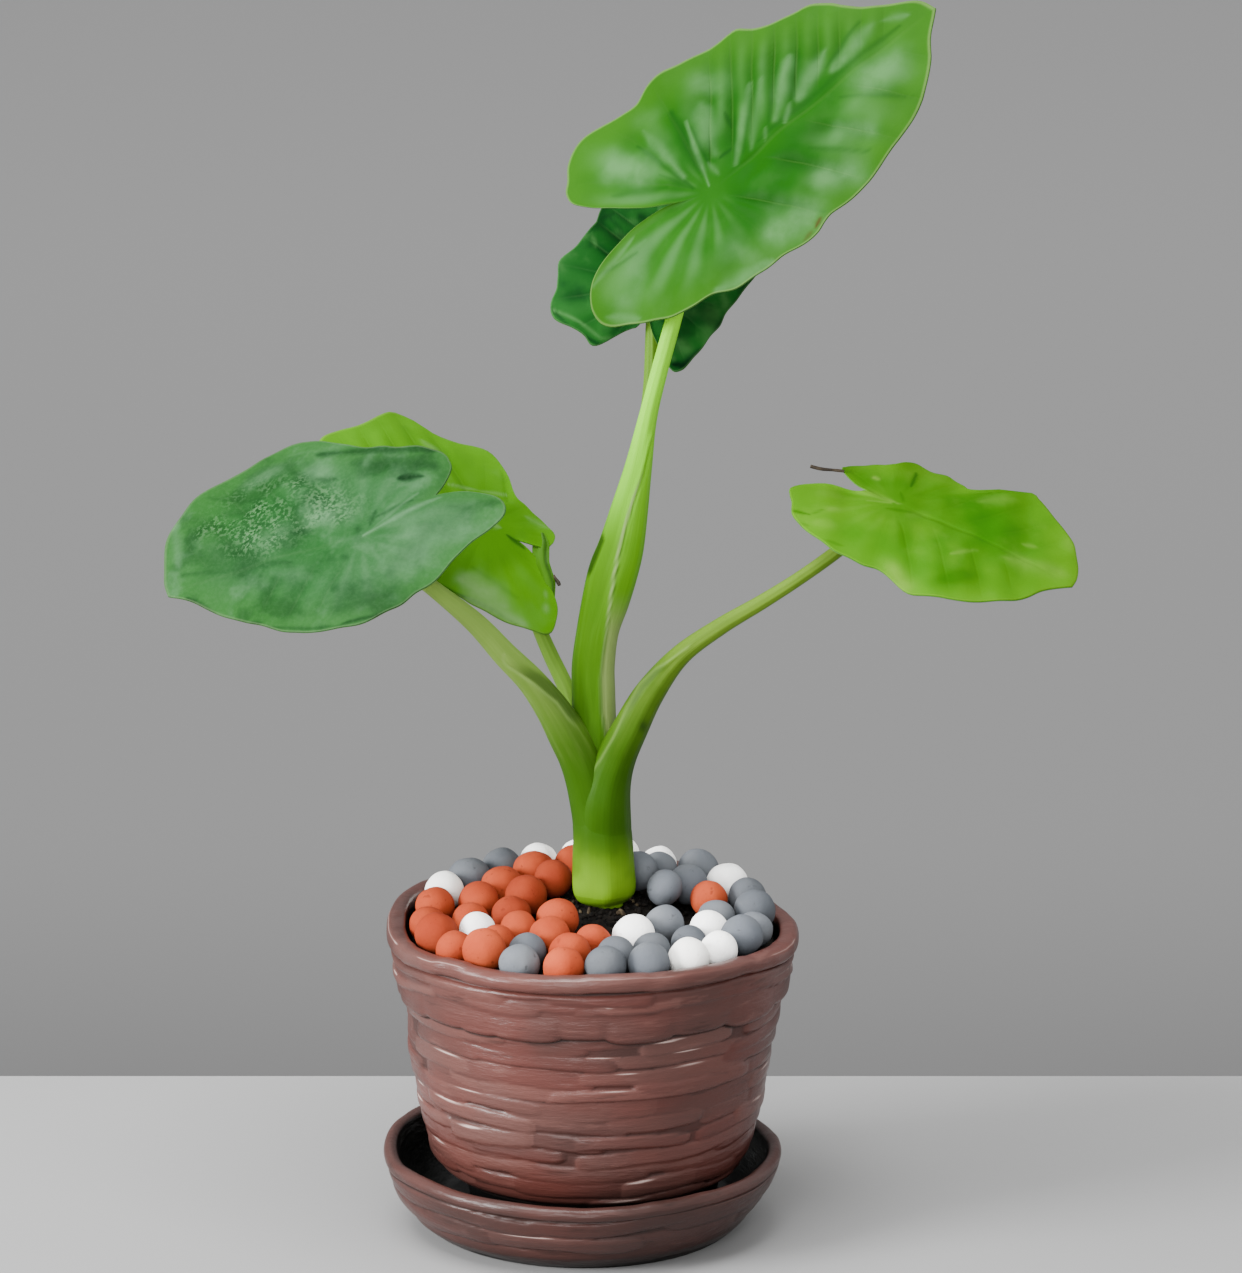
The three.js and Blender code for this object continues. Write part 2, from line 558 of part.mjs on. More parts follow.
// A blade as a thin closed body: an upper and an under face on one polar net, whose cells are
// split alike on both, and a strip round the margin. The midrib stands out underneath. Grow
// thickens the whole blade, for the room that it takes from its stalk.
function makeBlade(leaf, grow) {
  const along = new THREE.Vector3(...leaf.along).normalize();
  const facing = new THREE.Vector3(...leaf.facing);
  facing.addScaledVector(along, -facing.dot(along)).normalize();
  const leftward = new THREE.Vector3().crossVectors(facing, along);
  const junction = new THREE.Vector3(...leaf.junction);
  const spokes = [];
  [[1, leaf.notch, leaf.left], [-1, 360 - leaf.notch, leaf.right]].forEach(([side, turn, radii]) => {
    for (let j = 0; j < leaf.spokes; j += 1) {
      const even = (side > 0 ? j : leaf.spokes - j) / leaf.spokes;
      const share = even - 0.11 * Math.sin(2 * Math.PI * even);
      spokes.push([side * radians(share * turn), outlineRadius(radii, share), even === 0]);
    }
  });
  const points = [];
  const corners = [];
  const count = spokes.length;
  const put = (a, b, h) => {
    const place = junction.clone().addScaledVector(along, a);
    place.addScaledVector(leftward, b).addScaledVector(facing, h);
    points.push(place.x, place.y, place.z);
  };
  [1, -1].forEach((face) => {
    put(0, 0, face * (0.5 * BLADE_THICKNESS + grow) - (face < 0 ? MIDRIB_RISE : 0));
    for (let ring = 1; ring <= BLADE_RINGS; ring += 1) {
      const reach = (ring / BLADE_RINGS) ** 0.85;
      spokes.forEach(([angle, radius, isMidrib]) => {
        const a = reach * radius * Math.cos(angle);
        const b = reach * radius * Math.sin(angle);
        const thin = lerp(1, 0.8, reach);
        const rib = face < 0 && isMidrib ? MIDRIB_RISE * (1 - reach) : 0;
        const skin = 0.5 * BLADE_THICKNESS * thin + grow;
        put(a, b, bladeHeight(leaf, a, b, reach, angle) + face * skin - rib);
      });
    }
  });
  const start = [0, 1 + BLADE_RINGS * count];
  const at = (face, ring, j) => start[face] + 1 + (ring - 1) * count + (j % count);
  const triangle = (face, p, q, r) => corners.push(p, face === 0 ? q : r, face === 0 ? r : q);
  [0, 1].forEach((face) => {
    for (let j = 0; j < count; j += 1) {
      triangle(face, start[face], at(face, 1, j), at(face, 1, j + 1));
      for (let ring = 1; ring < BLADE_RINGS; ring += 1) {
        const [p, q] = [at(face, ring, j), at(face, ring, j + 1)];
        const [r, s] = [at(face, ring + 1, j + 1), at(face, ring + 1, j)];
        triangle(face, p, s, r);
        triangle(face, p, r, q);
      }
    }
  });
  for (let j = 0; j < count; j += 1) {
    const [p, q] = [at(0, BLADE_RINGS, j), at(0, BLADE_RINGS, j + 1)];
    const [r, s] = [at(1, BLADE_RINGS, j + 1), at(1, BLADE_RINGS, j)];
    corners.push(p, s, r, p, r, q);
  }
  const geometry = new THREE.BufferGeometry();
  geometry.setAttribute('position', new THREE.Float32BufferAttribute(points, 3));
  geometry.setIndex(corners);
  return facingOut(geometry);
}

// Bead colours round the pot, one string a ring, from the right-hand side forwards and round:
// T terracotta, W white, G grey, and a dash where the ring has no bead.
const RING_COLOURS = [
  'GGGWWGGTGTTTTTWGGWWWWGWG',
  'TGWGGGTGTWTTTTTGGG',
  '-GWTTTTTT-GG',
  '---T----',
];
// How far each ring is turned on, in shares of the step from bead to bead
const RING_TURNS = [0.33, 1, 0, 0];

// The beads in the places where they come to lie
function layBeads() {
  const random = randomSource(4711);
  const beads = [];
  RING_RADII.forEach((ringRadius, ring) => {
    const colours = RING_COLOURS[ring];
    const step = (-2 * Math.PI) / colours.length;
    for (let k = 0; k < colours.length; k += 1) {
      const reach = ringRadius + 1.6 * (random() - 0.5);
      const angle = step * (k - RING_TURNS[ring] + 0.16 * (random() - 0.5));
      const radius = BEAD_RADIUS + BEAD_SPREAD * (2 * random() - 1);
      const lift = 2.4 * random() * random();
      if (colours[k] !== '-') {
        const [x, y] = [POT_X + reach * Math.cos(angle), reach * Math.sin(angle)];
        beads.push({ x, y, z: 0, radius, lift, colour: colours[k] });
      }
    }
  });
  for (let round = 0; round < 80; round += 1) {
    settle(beads);
  }
  return beads;
}

// One step of pushing beads apart, off the stem, inside the pot and onto the soil
function settle(beads) {
  beads.forEach((bead, i) => {
    bead.z = soilTop(bead.x, bead.y) + bead.radius + GAP + bead.lift;
    for (let k = 0; k < i; k += 1) {
      const other = beads[k];
      const [dx, dy, dz] = [bead.x - other.x, bead.y - other.y, bead.z - other.z];
      const away = Math.sqrt(dx * dx + dy * dy + dz * dz);
      const push = (0.5 * (bead.radius + other.radius + BEAD_CLEARANCE - away)) / away;
      if (push > 0) {
        bead.x += dx * push;
        bead.y += dy * push;
        bead.lift += Math.max(dz, 0) * push;
        other.x -= dx * push;
        other.y -= dy * push;
        other.lift += Math.max(-dz, 0) * push;
      }
    }
    const [sx, sy] = [bead.x - STEM_X, bead.y - STEM_Y];
    const offStem = Math.sqrt(sx * sx + sy * sy);
    const room = STEM_ROOM + bead.radius;
    if (offStem < room) {
      bead.x = STEM_X + (sx * room) / offStem;
      bead.y = STEM_Y + (sy * room) / offStem;
    }
    const px = bead.x - POT_X;
    const fromAxis = Math.sqrt(px * px + bead.y * bead.y);
    const most = POT_MOUTH_RADIUS - bead.radius - GAP - 0.3;
    if (fromAxis > most) {
      bead.x = POT_X + (px * most) / fromAxis;
      bead.y = (bead.y * most) / fromAxis;
    }
  });
}

function beadSolid(bead) {
  const ball = new THREE.SphereGeometry(bead.radius, 7, 5);
  ball.rotateX(Math.PI / 2);
  ball.translate(bead.x, bead.y, bead.z);
  return solidOf(ball);
}

// The little clay neck that joins two touching beads of one colour
function neckSolid(one, other) {
  const from = new THREE.Vector3(one.x, one.y, one.z);
  const to = new THREE.Vector3(other.x, other.y, other.z);
  const neck = new THREE.CylinderGeometry(NECK_RADIUS, NECK_RADIUS, from.distanceTo(to), 4);
  const up = new THREE.Vector3(0, 1, 0);
  const turn = new THREE.Quaternion().setFromUnitVectors(up, to.clone().sub(from).normalize());
  neck.applyQuaternion(turn);
  neck.translate(...from.add(to).multiplyScalar(0.5).toArray());
  return solidOf(neck);
}

// Groups of beads of one colour that touch, each joined into one body
function makeBeadGroups() {
  const beads = layBeads();
  const group = beads.map((_, i) => i);
  const links = [];
  beads.forEach((bead, i) => {
    for (let k = 0; k < i; k += 1) {
      const other = beads[k];
      const away = Math.hypot(bead.x - other.x, bead.y - other.y, bead.z - other.z);
      if (other.colour === bead.colour && away < NECK_REACH) {
        if (group[i] !== group[k]) {
          links.push([i, k]);
        }
        const [mine, theirs] = [group[i], group[k]];
        group.forEach((name, n) => {
          if (name === theirs) {
            group[n] = mine;
          }
        });
      }
    }
  });
  const words = { T: 'terracotta', W: 'white', G: 'grey' };
  const counts = { T: 0, W: 0, G: 0 };
  const made = [];
  [...new Set(group)].forEach((name) => {
    const members = beads.filter((_, i) => group[i] === name);
    let solid = beadSolid(members[0]);
    members.slice(1).forEach((bead) => {
      solid = solid.add(beadSolid(bead));
    });
    links.filter(([i]) => group[i] === name).forEach(([i, k]) => {
      solid = solid.add(neckSolid(beads[i], beads[k]));
    });
    const { colour } = members[0];
    counts[colour] += 1;
    made.push([`beads_${words[colour]}_${counts[colour]}`, geometryOf(solid), finishes[words[colour]]]);
  });
  return made;
}

const group = new THREE.Group();

function addPiece(name, geometry, material) {
  geometry.computeVertexNormals();
  const mesh = new THREE.Mesh(geometry, material);
  mesh.name = name;
  group.add(mesh);
}

addPiece('saucer', makeSaucer(), finishes.saucer);
addPiece('pot', makePot(), finishes.pot);
addPiece('soil', makeSoil(), finishes.soil);
Object.entries(makeStemAndPetioles()).forEach(([name, geometry]) => {
  addPiece(name, geometry, name === 'stem' ? finishes.stem : finishes.petiole);
});
const bladeFinishes = {
  tall: finishes.bladeMid,
  left: finishes.bladeBlue,
  left_rear: finishes.bladeLime,
  right: finishes.bladeLime,
  rear: finishes.bladeDark,
};
Object.entries(BLADES).forEach(([name, leaf]) => {
  addPiece(`blade_${name}`, makeBlade(leaf, 0), bladeFinishes[name]);
});
makeBeadGroups().forEach(([name, geometry, material]) => addPiece(name, geometry, material));

export default group;
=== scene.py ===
# %% [markdown]
# # A young giant taro in a slate-look pot
# This lesson dresses a ready-made model of a potted plant. The model gives each piece its true size
# and place. Here every piece gets a finer mesh and a finish of its own: waxy leaves with sunken veins,
# juicy stalks, a glazed pot with the look of laid slate, and matt clay beads on dark soil.
# The pieces' lengths below are in millimetres, because that is how they were measured. Blender works
# in metres, so one helper turns millimetres into metres when a mesh is made. The lights and the
# patterns inside the materials are set in metres.

# %% Load the fixed frame
import math
import bpy
import numpy as np
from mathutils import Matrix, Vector


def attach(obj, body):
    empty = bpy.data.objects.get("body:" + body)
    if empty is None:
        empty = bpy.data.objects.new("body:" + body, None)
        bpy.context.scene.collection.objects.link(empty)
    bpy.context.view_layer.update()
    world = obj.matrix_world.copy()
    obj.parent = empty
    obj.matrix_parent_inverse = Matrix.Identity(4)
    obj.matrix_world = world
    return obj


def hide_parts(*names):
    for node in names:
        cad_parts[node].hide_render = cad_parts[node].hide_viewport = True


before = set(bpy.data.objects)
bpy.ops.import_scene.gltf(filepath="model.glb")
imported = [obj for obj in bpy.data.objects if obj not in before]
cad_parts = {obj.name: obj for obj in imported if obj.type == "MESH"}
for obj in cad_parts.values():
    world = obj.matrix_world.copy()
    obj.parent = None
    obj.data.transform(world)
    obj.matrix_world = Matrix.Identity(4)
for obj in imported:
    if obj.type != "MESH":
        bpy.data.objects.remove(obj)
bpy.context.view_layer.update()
print("pieces in the frame:", len(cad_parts))

# %% [markdown]
# ## Where we look from
# The plant is seen slightly from above, from far away and through a long lens, which keeps the pot's
# sides nearly upright. Each value has a name, so that the view can be understood and changed.

# %% Camera
MM = 0.001
VIEW_ELEVATION = math.radians(14)
VIEW_DISTANCE = 1978 * MM
VIEW_TARGET = Vector((11.4 * MM, 0, 189.7 * MM))
LENS = 181.0
SENSOR = 36.0


def place_object(name, data):
    made = bpy.data.objects.new(name, data)
    bpy.context.scene.collection.objects.link(made)
    return made


def aim(name, data, place, direction):
    """Puts a camera or a light at a place and turns it to face in a direction."""
    made = place_object(name, data)
    made.location = place
    made.rotation_euler = direction.to_track_quat("-Z", "Y").to_euler()
    return made


def add_camera():
    away = Vector((0, math.cos(VIEW_ELEVATION), -math.sin(VIEW_ELEVATION)))
    data = bpy.data.cameras.new("camera")
    data.lens = LENS
    data.sensor_width = SENSOR
    camera = aim("camera", data, VIEW_TARGET - away * VIEW_DISTANCE, away)
    bpy.context.scene.camera = camera
    return camera


print("camera at", tuple(round(c, 3) for c in add_camera().location))

# %% [markdown]
# ## Soft light
# The plant stands in broad studio light. A large soft panel hangs overhead, a second one at the left
# models the leaves and stalks, and a weak one in front lifts the shadows. The world adds the rest.
# The light is strong and every finish but the white clay is dark to match, so that white stays white.

# %% Lights
OVERHEAD_POWER = 46.0
SIDE_POWER = 98.0
FRONT_POWER = 20.0
WORLD_GREY = 1.33
LIT_PLACE = Vector((0, 0, 0.2))


def add_panel(name, place, width, height, power):
    data = bpy.data.lights.new(name, "AREA")
    data.shape = "RECTANGLE"
    data.size, data.size_y = width, height
    data.energy = power
    aim(name, data, place, LIT_PLACE - Vector(place))


def set_world(grey):
    world = bpy.data.worlds.new("soft grey room")
    world.use_nodes = True
    world.node_tree.nodes["Background"].inputs["Color"].default_value = (grey, grey, grey, 1)
    bpy.context.scene.world = world


set_world(WORLD_GREY)
add_panel("overhead panel", (-0.3, -0.3, 1.5), 1.0, 0.9, OVERHEAD_POWER)
add_panel("side panel", (-1.6, -0.8, 0.7), 0.7, 0.7, SIDE_POWER)
add_panel("front panel", (-0.3, -1.7, 0.5), 0.8, 0.8, FRONT_POWER)
print("three panels and a world of", WORLD_GREY)

# %% [markdown]
# ## Writing materials as sums
# A Blender material is a graph of nodes. Wiring each Math node by hand is slow to write and hard to
# read, so a small class wraps one output socket and lets Python's own operators add the nodes.
# `1 - mask` then works as it looks, because the reversed operators are there too.

# %% A socket that can be added, multiplied and blended
def add_node(tree, kind, settings=None, inputs=None):
    """Adds a node: settings first, as they may change its sockets, then values or links."""
    made = tree.nodes.new(kind)
    for name, value in (settings or {}).items():
        setattr(made, name, value)
    for key, value in (inputs or {}).items():
        feed(tree, made.inputs[key], value)
    return made


def feed(tree, socket, value):
    """Links a socket or sets its value. A colour may be given without its alpha."""
    if isinstance(value, bpy.types.NodeSocket):
        tree.links.new(value, socket)
    elif socket.type == "RGBA" and len(value) == 3:
        socket.default_value = (*value, 1)
    else:
        socket.default_value = value


class Wire:
    """One output of a material's node."""

    def __init__(self, finish, socket):
        self.finish = finish
        self.socket = socket

    def maths(self, operation, first, second=0.0):
        return self.finish.node("ShaderNodeMath", {"operation": operation}, {0: first, 1: second})

    def __add__(self, other):
        return self.maths("ADD", self, other)

    def __sub__(self, other):
        return self.maths("SUBTRACT", self, other)

    def __rsub__(self, other):
        return self.maths("SUBTRACT", other, self)

    def __mul__(self, other):
        return self.maths("MULTIPLY", self, other)

    def __truediv__(self, other):
        return self.maths("DIVIDE", self, other)

    def __rtruediv__(self, other):
        return self.maths("DIVIDE", other, self)

    def __abs__(self):
        return self.maths("ABSOLUTE", self)

    __radd__ = __add__
    __rmul__ = __mul__

    def step(self, low, high):
        """A smooth step from 0 at low to 1 at high."""
        settings = {"interpolation_type": "SMOOTHSTEP"}
        limits = {"Value": self, "From Min": low, "From Max": high}
        return self.finish.node("ShaderNodeMapRange", settings, limits)

    def to_nearest(self, spacing):
        """How far this value is from the nearest multiple of spacing."""
        return self.maths("PINGPONG", self, spacing / 2)

    def scaled(self, x, y, z):
        """This vector, with each of its parts multiplied."""
        inputs = {0: self, 1: (x, y, z)}
        return self.finish.node("ShaderNodeVectorMath", {"operation": "MULTIPLY"}, inputs)

    def parts(self):
        """The three numbers of this vector."""
        split = add_node(self.finish.tree, "ShaderNodeSeparateXYZ", inputs={0: self.socket})
        return [Wire(self.finish, output) for output in split.outputs]


print("a socket can be added, multiplied and blended")

# %% [markdown]
# A finish is one material round Blender's Principled surface, and a small class adds its nodes. Colours
# lie over each other in coats, from the ground up, as a painter lays them. Each coat has a share from 0
# to 1, and the share may be a pattern.

# %% Finishes
class Finish:
    """A material around one Principled surface."""

    def __init__(self, name, gloss=0.5, roughness=0.5):
        self.material = bpy.data.materials.new(name)
        self.material.use_nodes = True
        self.tree = self.material.node_tree
        self.surface = self.tree.nodes["Principled BSDF"]
        self.surface.inputs["Specular IOR Level"].default_value = gloss
        self.surface.inputs["Roughness"].default_value = roughness

    def node(self, kind, settings=None, inputs=None, out=0):
        """Adds a node to this material and wraps one of its outputs."""
        plain = {key: self.plain(value) for key, value in (inputs or {}).items()}
        return Wire(self, add_node(self.tree, kind, settings, plain).outputs[out])

    def plain(self, value):
        return value.socket if isinstance(value, Wire) else value

    def mix(self, share, first, second):
        """From the first colour at share 0 to the second at share 1."""
        inputs = {0: share, 6: first, 7: second}
        return self.node("ShaderNodeMix", {"data_type": "RGBA"}, inputs, out=2)

    def coats(self, colour, *layers):
        """The first colour under layers of others, each given as its share and its colour."""
        for share, layer in layers:
            colour = self.mix(share, colour, layer)
        return colour

    def place(self):
        return self.node("ShaderNodeTexCoord", out=3)

    def measure(self, attribute):
        """The three numbers that a mesh stores under this name at each point."""
        return self.node("ShaderNodeAttribute", {"attribute_name": attribute}, out=1).parts()

    def noise(self, scale, detail=2.0, vector=None, roughness=0.5):
        inputs = {"Vector": vector or self.place(), "Scale": scale, "Detail": detail,
                  "Roughness": roughness}
        return self.node("ShaderNodeTexNoise", inputs=inputs)

    def bump(self, height, distance, strength=1.0):
        inputs = {"Height": height, "Distance": distance, "Strength": strength}
        return self.node("ShaderNodeBump", inputs=inputs)

    def paint(self, colour, roughness=None, normal=None):
        """Feeds what changes over the surface, and gives the finished material."""
        for name, value in (("Base Color", colour), ("Roughness", roughness), ("Normal", normal)):
            if value is not None:
                feed(self.tree, self.surface.inputs[name], self.plain(value))
        return self.material


print("material helpers are ready")

# %% [markdown]
# ## From numbers to meshes
# Most pieces here are grown from formulas: a net of points, and a list of the faces between them.
# Two helpers make the mesh and its object, and two join the rows of a net into faces. Its columns
# always go round and close. Its last row either meets the first, or both get a flat face. `measures`
# are numbers kept at each point, which the materials read.

# %% Mesh helpers
def make_mesh(name, points, faces, measures):
    """A mesh in metres from points in millimetres."""
    mesh = bpy.data.meshes.new(name)
    mesh.from_pydata((np.asarray(points) * MM).tolist(), [], faces)
    for key, values in measures.items():
        attribute = mesh.attributes.new(key, "FLOAT_VECTOR", "POINT")
        attribute.data.foreach_set("vector", np.asarray(values, np.float32).ravel())
    return mesh


def make_piece(name, points, faces, material, measures=None):
    """The object stays at the origin, as its place is in the mesh."""
    mesh = make_mesh(name, points, faces, measures or {})
    mesh.shade_smooth()
    mesh.materials.append(material)
    mesh.validate()
    return place_object(name, mesh)


def net_faces(rows, columns, start=0, closed_rows=False, flip=False):
    """Quads of a net whose columns go round and close."""
    faces = []
    for i in range(rows if closed_rows else rows - 1):
        a, b = start + i * columns, start + ((i + 1) % rows) * columns
        for j in range(columns):
            k = (j + 1) % columns
            face = (a + j, a + k, b + k, b + j)
            faces.append(face[::-1] if flip else face)
    return faces


def capped_net(rows, columns):
    """The quads of a net, with a flat face over its first row and its last."""
    last = (rows - 1) * columns
    ends = [tuple(range(columns))[::-1], tuple(range(last, last + columns))]
    return net_faces(rows, columns) + ends


def dress(piece, nodes=()):
    """The piece rides on the object, and is shown in place of any nodes."""
    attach(piece, "root")
    if nodes:
        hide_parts(*nodes)
    print(piece.name, "has", len(piece.data.polygons), "faces")


def smooth(value, low, high):
    """The same smooth step as in the materials, for arrays."""
    share = np.clip((value - low) / (high - low), 0, 1)
    return share * share * (3 - 2 * share)


def bell(value, width):
    """1 where the value is 0, falling off to both sides."""
    return np.exp(-((value / width) ** 2))


print("mesh helpers are ready")

# %% [markdown]
# ## The pot's finish
# The pot is a reddish brown with a satin gloss, and some stones are paler than others. Hollows
# between the slates and the pot's lower part get painted shade, and the upper edges of some stones
# get painted highlights. The mesh stores the shade and glint painted at each point, so that the colour
# follows the relief itself. The underside gets near-black painted shade, and the saucer's inside is nearly
# black too.

# %% Slate-look glaze
SLATE_GLOSS = 0.22
GLINT = (0.42, 0.31, 0.28)
SHADE = (0.0016, 0.0020, 0.0016)
# Painted shade: the pot darkens towards its foot, between these heights.
LOW_SHADE_FROM, LOW_SHADE_TO = 45 * MM, 12 * MM


def slate_finish(name, warm, grey, dark, pale, low_shade=0.0):
    finish = Finish(name, SLATE_GLOSS)
    unshaded, hidden, tone = finish.measure("relief")
    place = finish.place()
    cloud = finish.noise(24, 3, place.scaled(1, 1, 1.8)).step(0.36, 0.68)
    grain = finish.noise(170, 4, place.scaled(1, 1, 2.5), 0.6)
    streak = finish.noise(45, 4, place.scaled(1, 1, 7), 0.6)
    foot = 1 - place.parts()[2].step(LOW_SHADE_TO, LOW_SHADE_FROM)
    # Painted light in these coats: glints are painted highlights, and joints, ledges, the foot and hidden
    # parts get painted shade. Cloud, streaks and the stones' own tone are the glaze's colour.
    colour = finish.coats(
        warm,
        (cloud, grey),
        (tone.step(0.2, 1.0) * 0.35, pale),
        (streak.step(0.58, 0.72) * 0.35, pale),
        ((1 - streak).step(0.58, 0.72) * 0.4, dark),
        # Painted highlight: pale glints on the upper edges of some stones.
        (tone.step(1.1, 2.2) * 0.8, GLINT),
        # Painted shade in the joints and under ledges.
        ((1 - unshaded.step(0.0, 0.55)) * 0.82, dark),
        # Painted shade near the foot.
        (foot * low_shade, dark),
        (hidden, SHADE),
    # Near-black painted shade where no light comes.
    )
    rough = 0.25 + grain * 0.18 + (1 - unshaded.step(0.0, 0.6)) * 0.3
    normal = finish.bump(grain * 0.35 + streak, 0.0012, 0.45)
    return finish.paint(colour, rough, normal)


pot_glaze = slate_finish("slate-look glaze", (0.0666, 0.0200, 0.0160), (0.0480, 0.0200, 0.0169),
                         (0.0080, 0.0031, 0.0022), (0.1200, 0.0533, 0.0445), low_shade=0.4)
saucer_glaze = slate_finish("saucer glaze", (0.0420, 0.0148, 0.0120), (0.0300, 0.0140, 0.0120),
                            (0.0051, 0.0031, 0.0021), (0.0780, 0.0370, 0.0320))
print("two glazes are mixed")

# %% [markdown]
# ## Hand-laid edges
# Nothing on the pot is truly round. Every course of slate wanders, and the rim is pinched higher at
# the back. The functions below describe that unevenness, for an array of angles at once.

# %% Unevenness
TURN = 2 * np.pi


def unevenness(angle, step):
    """The slow wander of a hand-laid edge, between about -1 and 1."""
    return (
        0.5 * np.sin(3 * angle + 1.7 * step)
        + 0.3 * np.sin(5 * angle + 2.9 * step + 1)
        + 0.2 * np.sin(11 * angle + 4.1 * step)
    )


def rise_towards(angle, direction, sharpness):
    """1 over the part of the circle that faces a direction in degrees, 0 elsewhere."""
    return smooth(sharpness * np.cos(angle - math.radians(direction)), 0, 1)


def left_bulge(angle):
    """Pot and saucer bulge a little at their left."""
    return 1.5 * np.maximum(0, -np.cos(angle))


def pinched(angle, draw, count, spread, soft=0.05):
    """Blocks of random height round the circle, with short rounded joints between them."""
    joints = (np.arange(count) + 0.7 * draw.random(count)) * TURN / count
    levels = draw.random(count) * spread
    shape = np.zeros_like(angle)
    for joint, before, after in zip(joints, np.roll(levels, 1), levels):
        for lap in (-TURN, 0, TURN):
            shape = shape + (after - before) * smooth(angle, joint + lap - soft, joint + lap + soft)
    return shape - shape.min()


print("back rise at the rear:", rise_towards(np.array([np.pi / 2]), 110, 1.75)[0])

# %% [markdown]
# ## Laid slates
# A wall of thin stones is never regular. Each stone gets a place, a length, a thickness, a tilt and a
# tone by a seeded draw, so the wall is the same on every run. Where two stones meet, the thicker one
# shows, and painted shade along its edge gives the fine shadow line that the eye reads as a joint.
# Some stones also get a painted highlight along their upper edge.

# %% Slates
STONE_RADIUS = 55.0


def lay_slates(draw, low, high, courses, per_course, half_heights, outs):
    """Random stones in rough courses: where each lies, its size, tilt, thickness and tone."""
    stones = []
    for course in range(courses):
        middle = low + (high - low) * (course + 0.5) / courses
        start = draw.random() * TURN
        for k in range(per_course):
            stones.append(dict(
                angle=start + (k + 0.5 * draw.random()) * TURN / per_course,
                height=middle + 2.4 * (draw.random() - 0.5),
                length=TURN * STONE_RADIUS / per_course * (0.5 + 0.4 * draw.random()),
                half=half_heights[0] + (half_heights[1] - half_heights[0]) * draw.random(),
                tilt=0.11 * (draw.random() - 0.5),
                out=outs[0] + (outs[1] - outs[0]) * draw.random(),
                tone=draw.random(),
            ))
    return stones


def slate_relief(stones, angle, height):
    """Relief, painted shade and tone over a net: a stone is a flat pillow, and the thickest one shows."""
    relief = np.full(height.shape, -0.35)
    unshaded = np.full(height.shape, 0.3)
    tone = np.full(height.shape, 0.3)
    for stone in stones:
        along = ((angle - stone["angle"] + np.pi) % TURN - np.pi) * STONE_RADIUS
        wander = stone["tilt"] * along + 0.35 * np.sin(along / 7 + 20 * stone["tone"])
        rise = (height - stone["height"] - wander) / stone["half"]
        edge = np.abs(rise) ** 3.5 + np.abs(along / stone["length"]) ** 9
        face = np.clip(1 - edge, 0, 1) ** 0.35
        here = face * (stone["out"] + 0.22 * (1 - rise)) - 0.35
        shown = here > relief
        relief = np.where(shown, here, relief)
        place = along / stone["length"] + 1.4 * stone["tone"] - 0.9
        # Painted highlight: a pale glint along the upper edge of some stones, carried in the tone.
        lit = (stone["tone"] > 0.66) * bell(rise - 0.72, 0.12) * bell(place, 0.3)
        tone = np.where(shown & (face > 0.1), stone["tone"] + 1.5 * lit, tone)
        # Painted shade: the share falls to 0 at a stone's edge, which darkens the joints.
        unshaded = np.where(shown, face, unshaded)
    return relief, unshaded, tone


print("stones in a course:", len(lay_slates(np.random.default_rng(1), 0, 5, 1, 8, (2, 3), (0, 1))))

# %% [markdown]
# ## The pot
# The pot could be a lathe, but a lathe cannot lay slates. So the wall is a net of points round the
# axis, and each point's radius is the pot's smooth body plus the relief there: pillow-like stones of
# random length and thickness, of which the thickest one shows.

# %% Pot sizes
POT_X = 2.6
POT_BASE = 4.35
POT_RIM = 96.0
WAIST_Z = 19.6
COLLAR_Z = 78.0
DRAIN_RADIUS = 5.0
FLOOR_Z = POT_BASE + 5.0
MOUTH_Z = POT_RIM - 4.0
INSIDE_FOOT_RADIUS = 35.0
INSIDE_RIM_RADIUS = 58.6
COLLAR_RADIUS = 60.7
LIP_HEIGHT = 6.0
LIP_RADIUS = 61.5
LIP_ROLL = 3.0
LIP_INSIDE = 58.5
COURSES = 11
STONES_ROUND = 12
ROW_STEP = 0.46
LOBES = 19
POT_SEED, GLINT_SEED = 23, 5
ROUND = 400

angles = np.arange(ROUND) * TURN / ROUND
back_rise = rise_towards(angles, 110, 1.75)
front_rise = rise_towards(angles, -90, 1.3)
rim_rise = 5.6 * back_rise + 2.4 * front_rise
brow_rise = 3.4 * back_rise + 3.4 * front_rise


class Wall:
    """Gathers the rows of a turned net with its measures."""

    def __init__(self):
        self.rows = []

    def put(self, radius, height, unshaded=1.0, hidden=0.0, tone=0.3):
        """One row. Unshaded is low where shade is painted, as in the joints; hidden is 1 where no light
        comes, for near-black painted shade; tone is the stone's, above 1 where a glint is painted.
        """
        parts = np.broadcast_arrays(radius, height, unshaded, hidden, tone, angles)[:5]
        self.rows.append(np.array(parts, float))

    def net(self, centre):
        held = np.array(self.rows)
        radius, height = held[:, 0], held[:, 1]
        points = np.stack([centre + radius * np.cos(angles), radius * np.sin(angles), height], -1)
        return points.reshape(-1, 3), np.moveaxis(held[:, 2:], 1, -1).reshape(-1, 3)


print("the rim is", round(rim_rise.max(), 2), "mm higher at the back")

# %% [markdown]
# The body is laid up in courses. The collar hangs over its top edge and ends below in rounded lobes
# that lie over each other. Each lobe is a stone of its own width, lift and thickness.

# %% Pot body and collar
def pot_body_radius(z):
    """The pot's smooth body, from its waist up to the collar."""
    return np.interp(z, [WAIST_Z, 22, 26, 33, 40, 56, 78], [45.8, 47.6, 49.5, 51.4, 53.0, 56.2, 59.4])


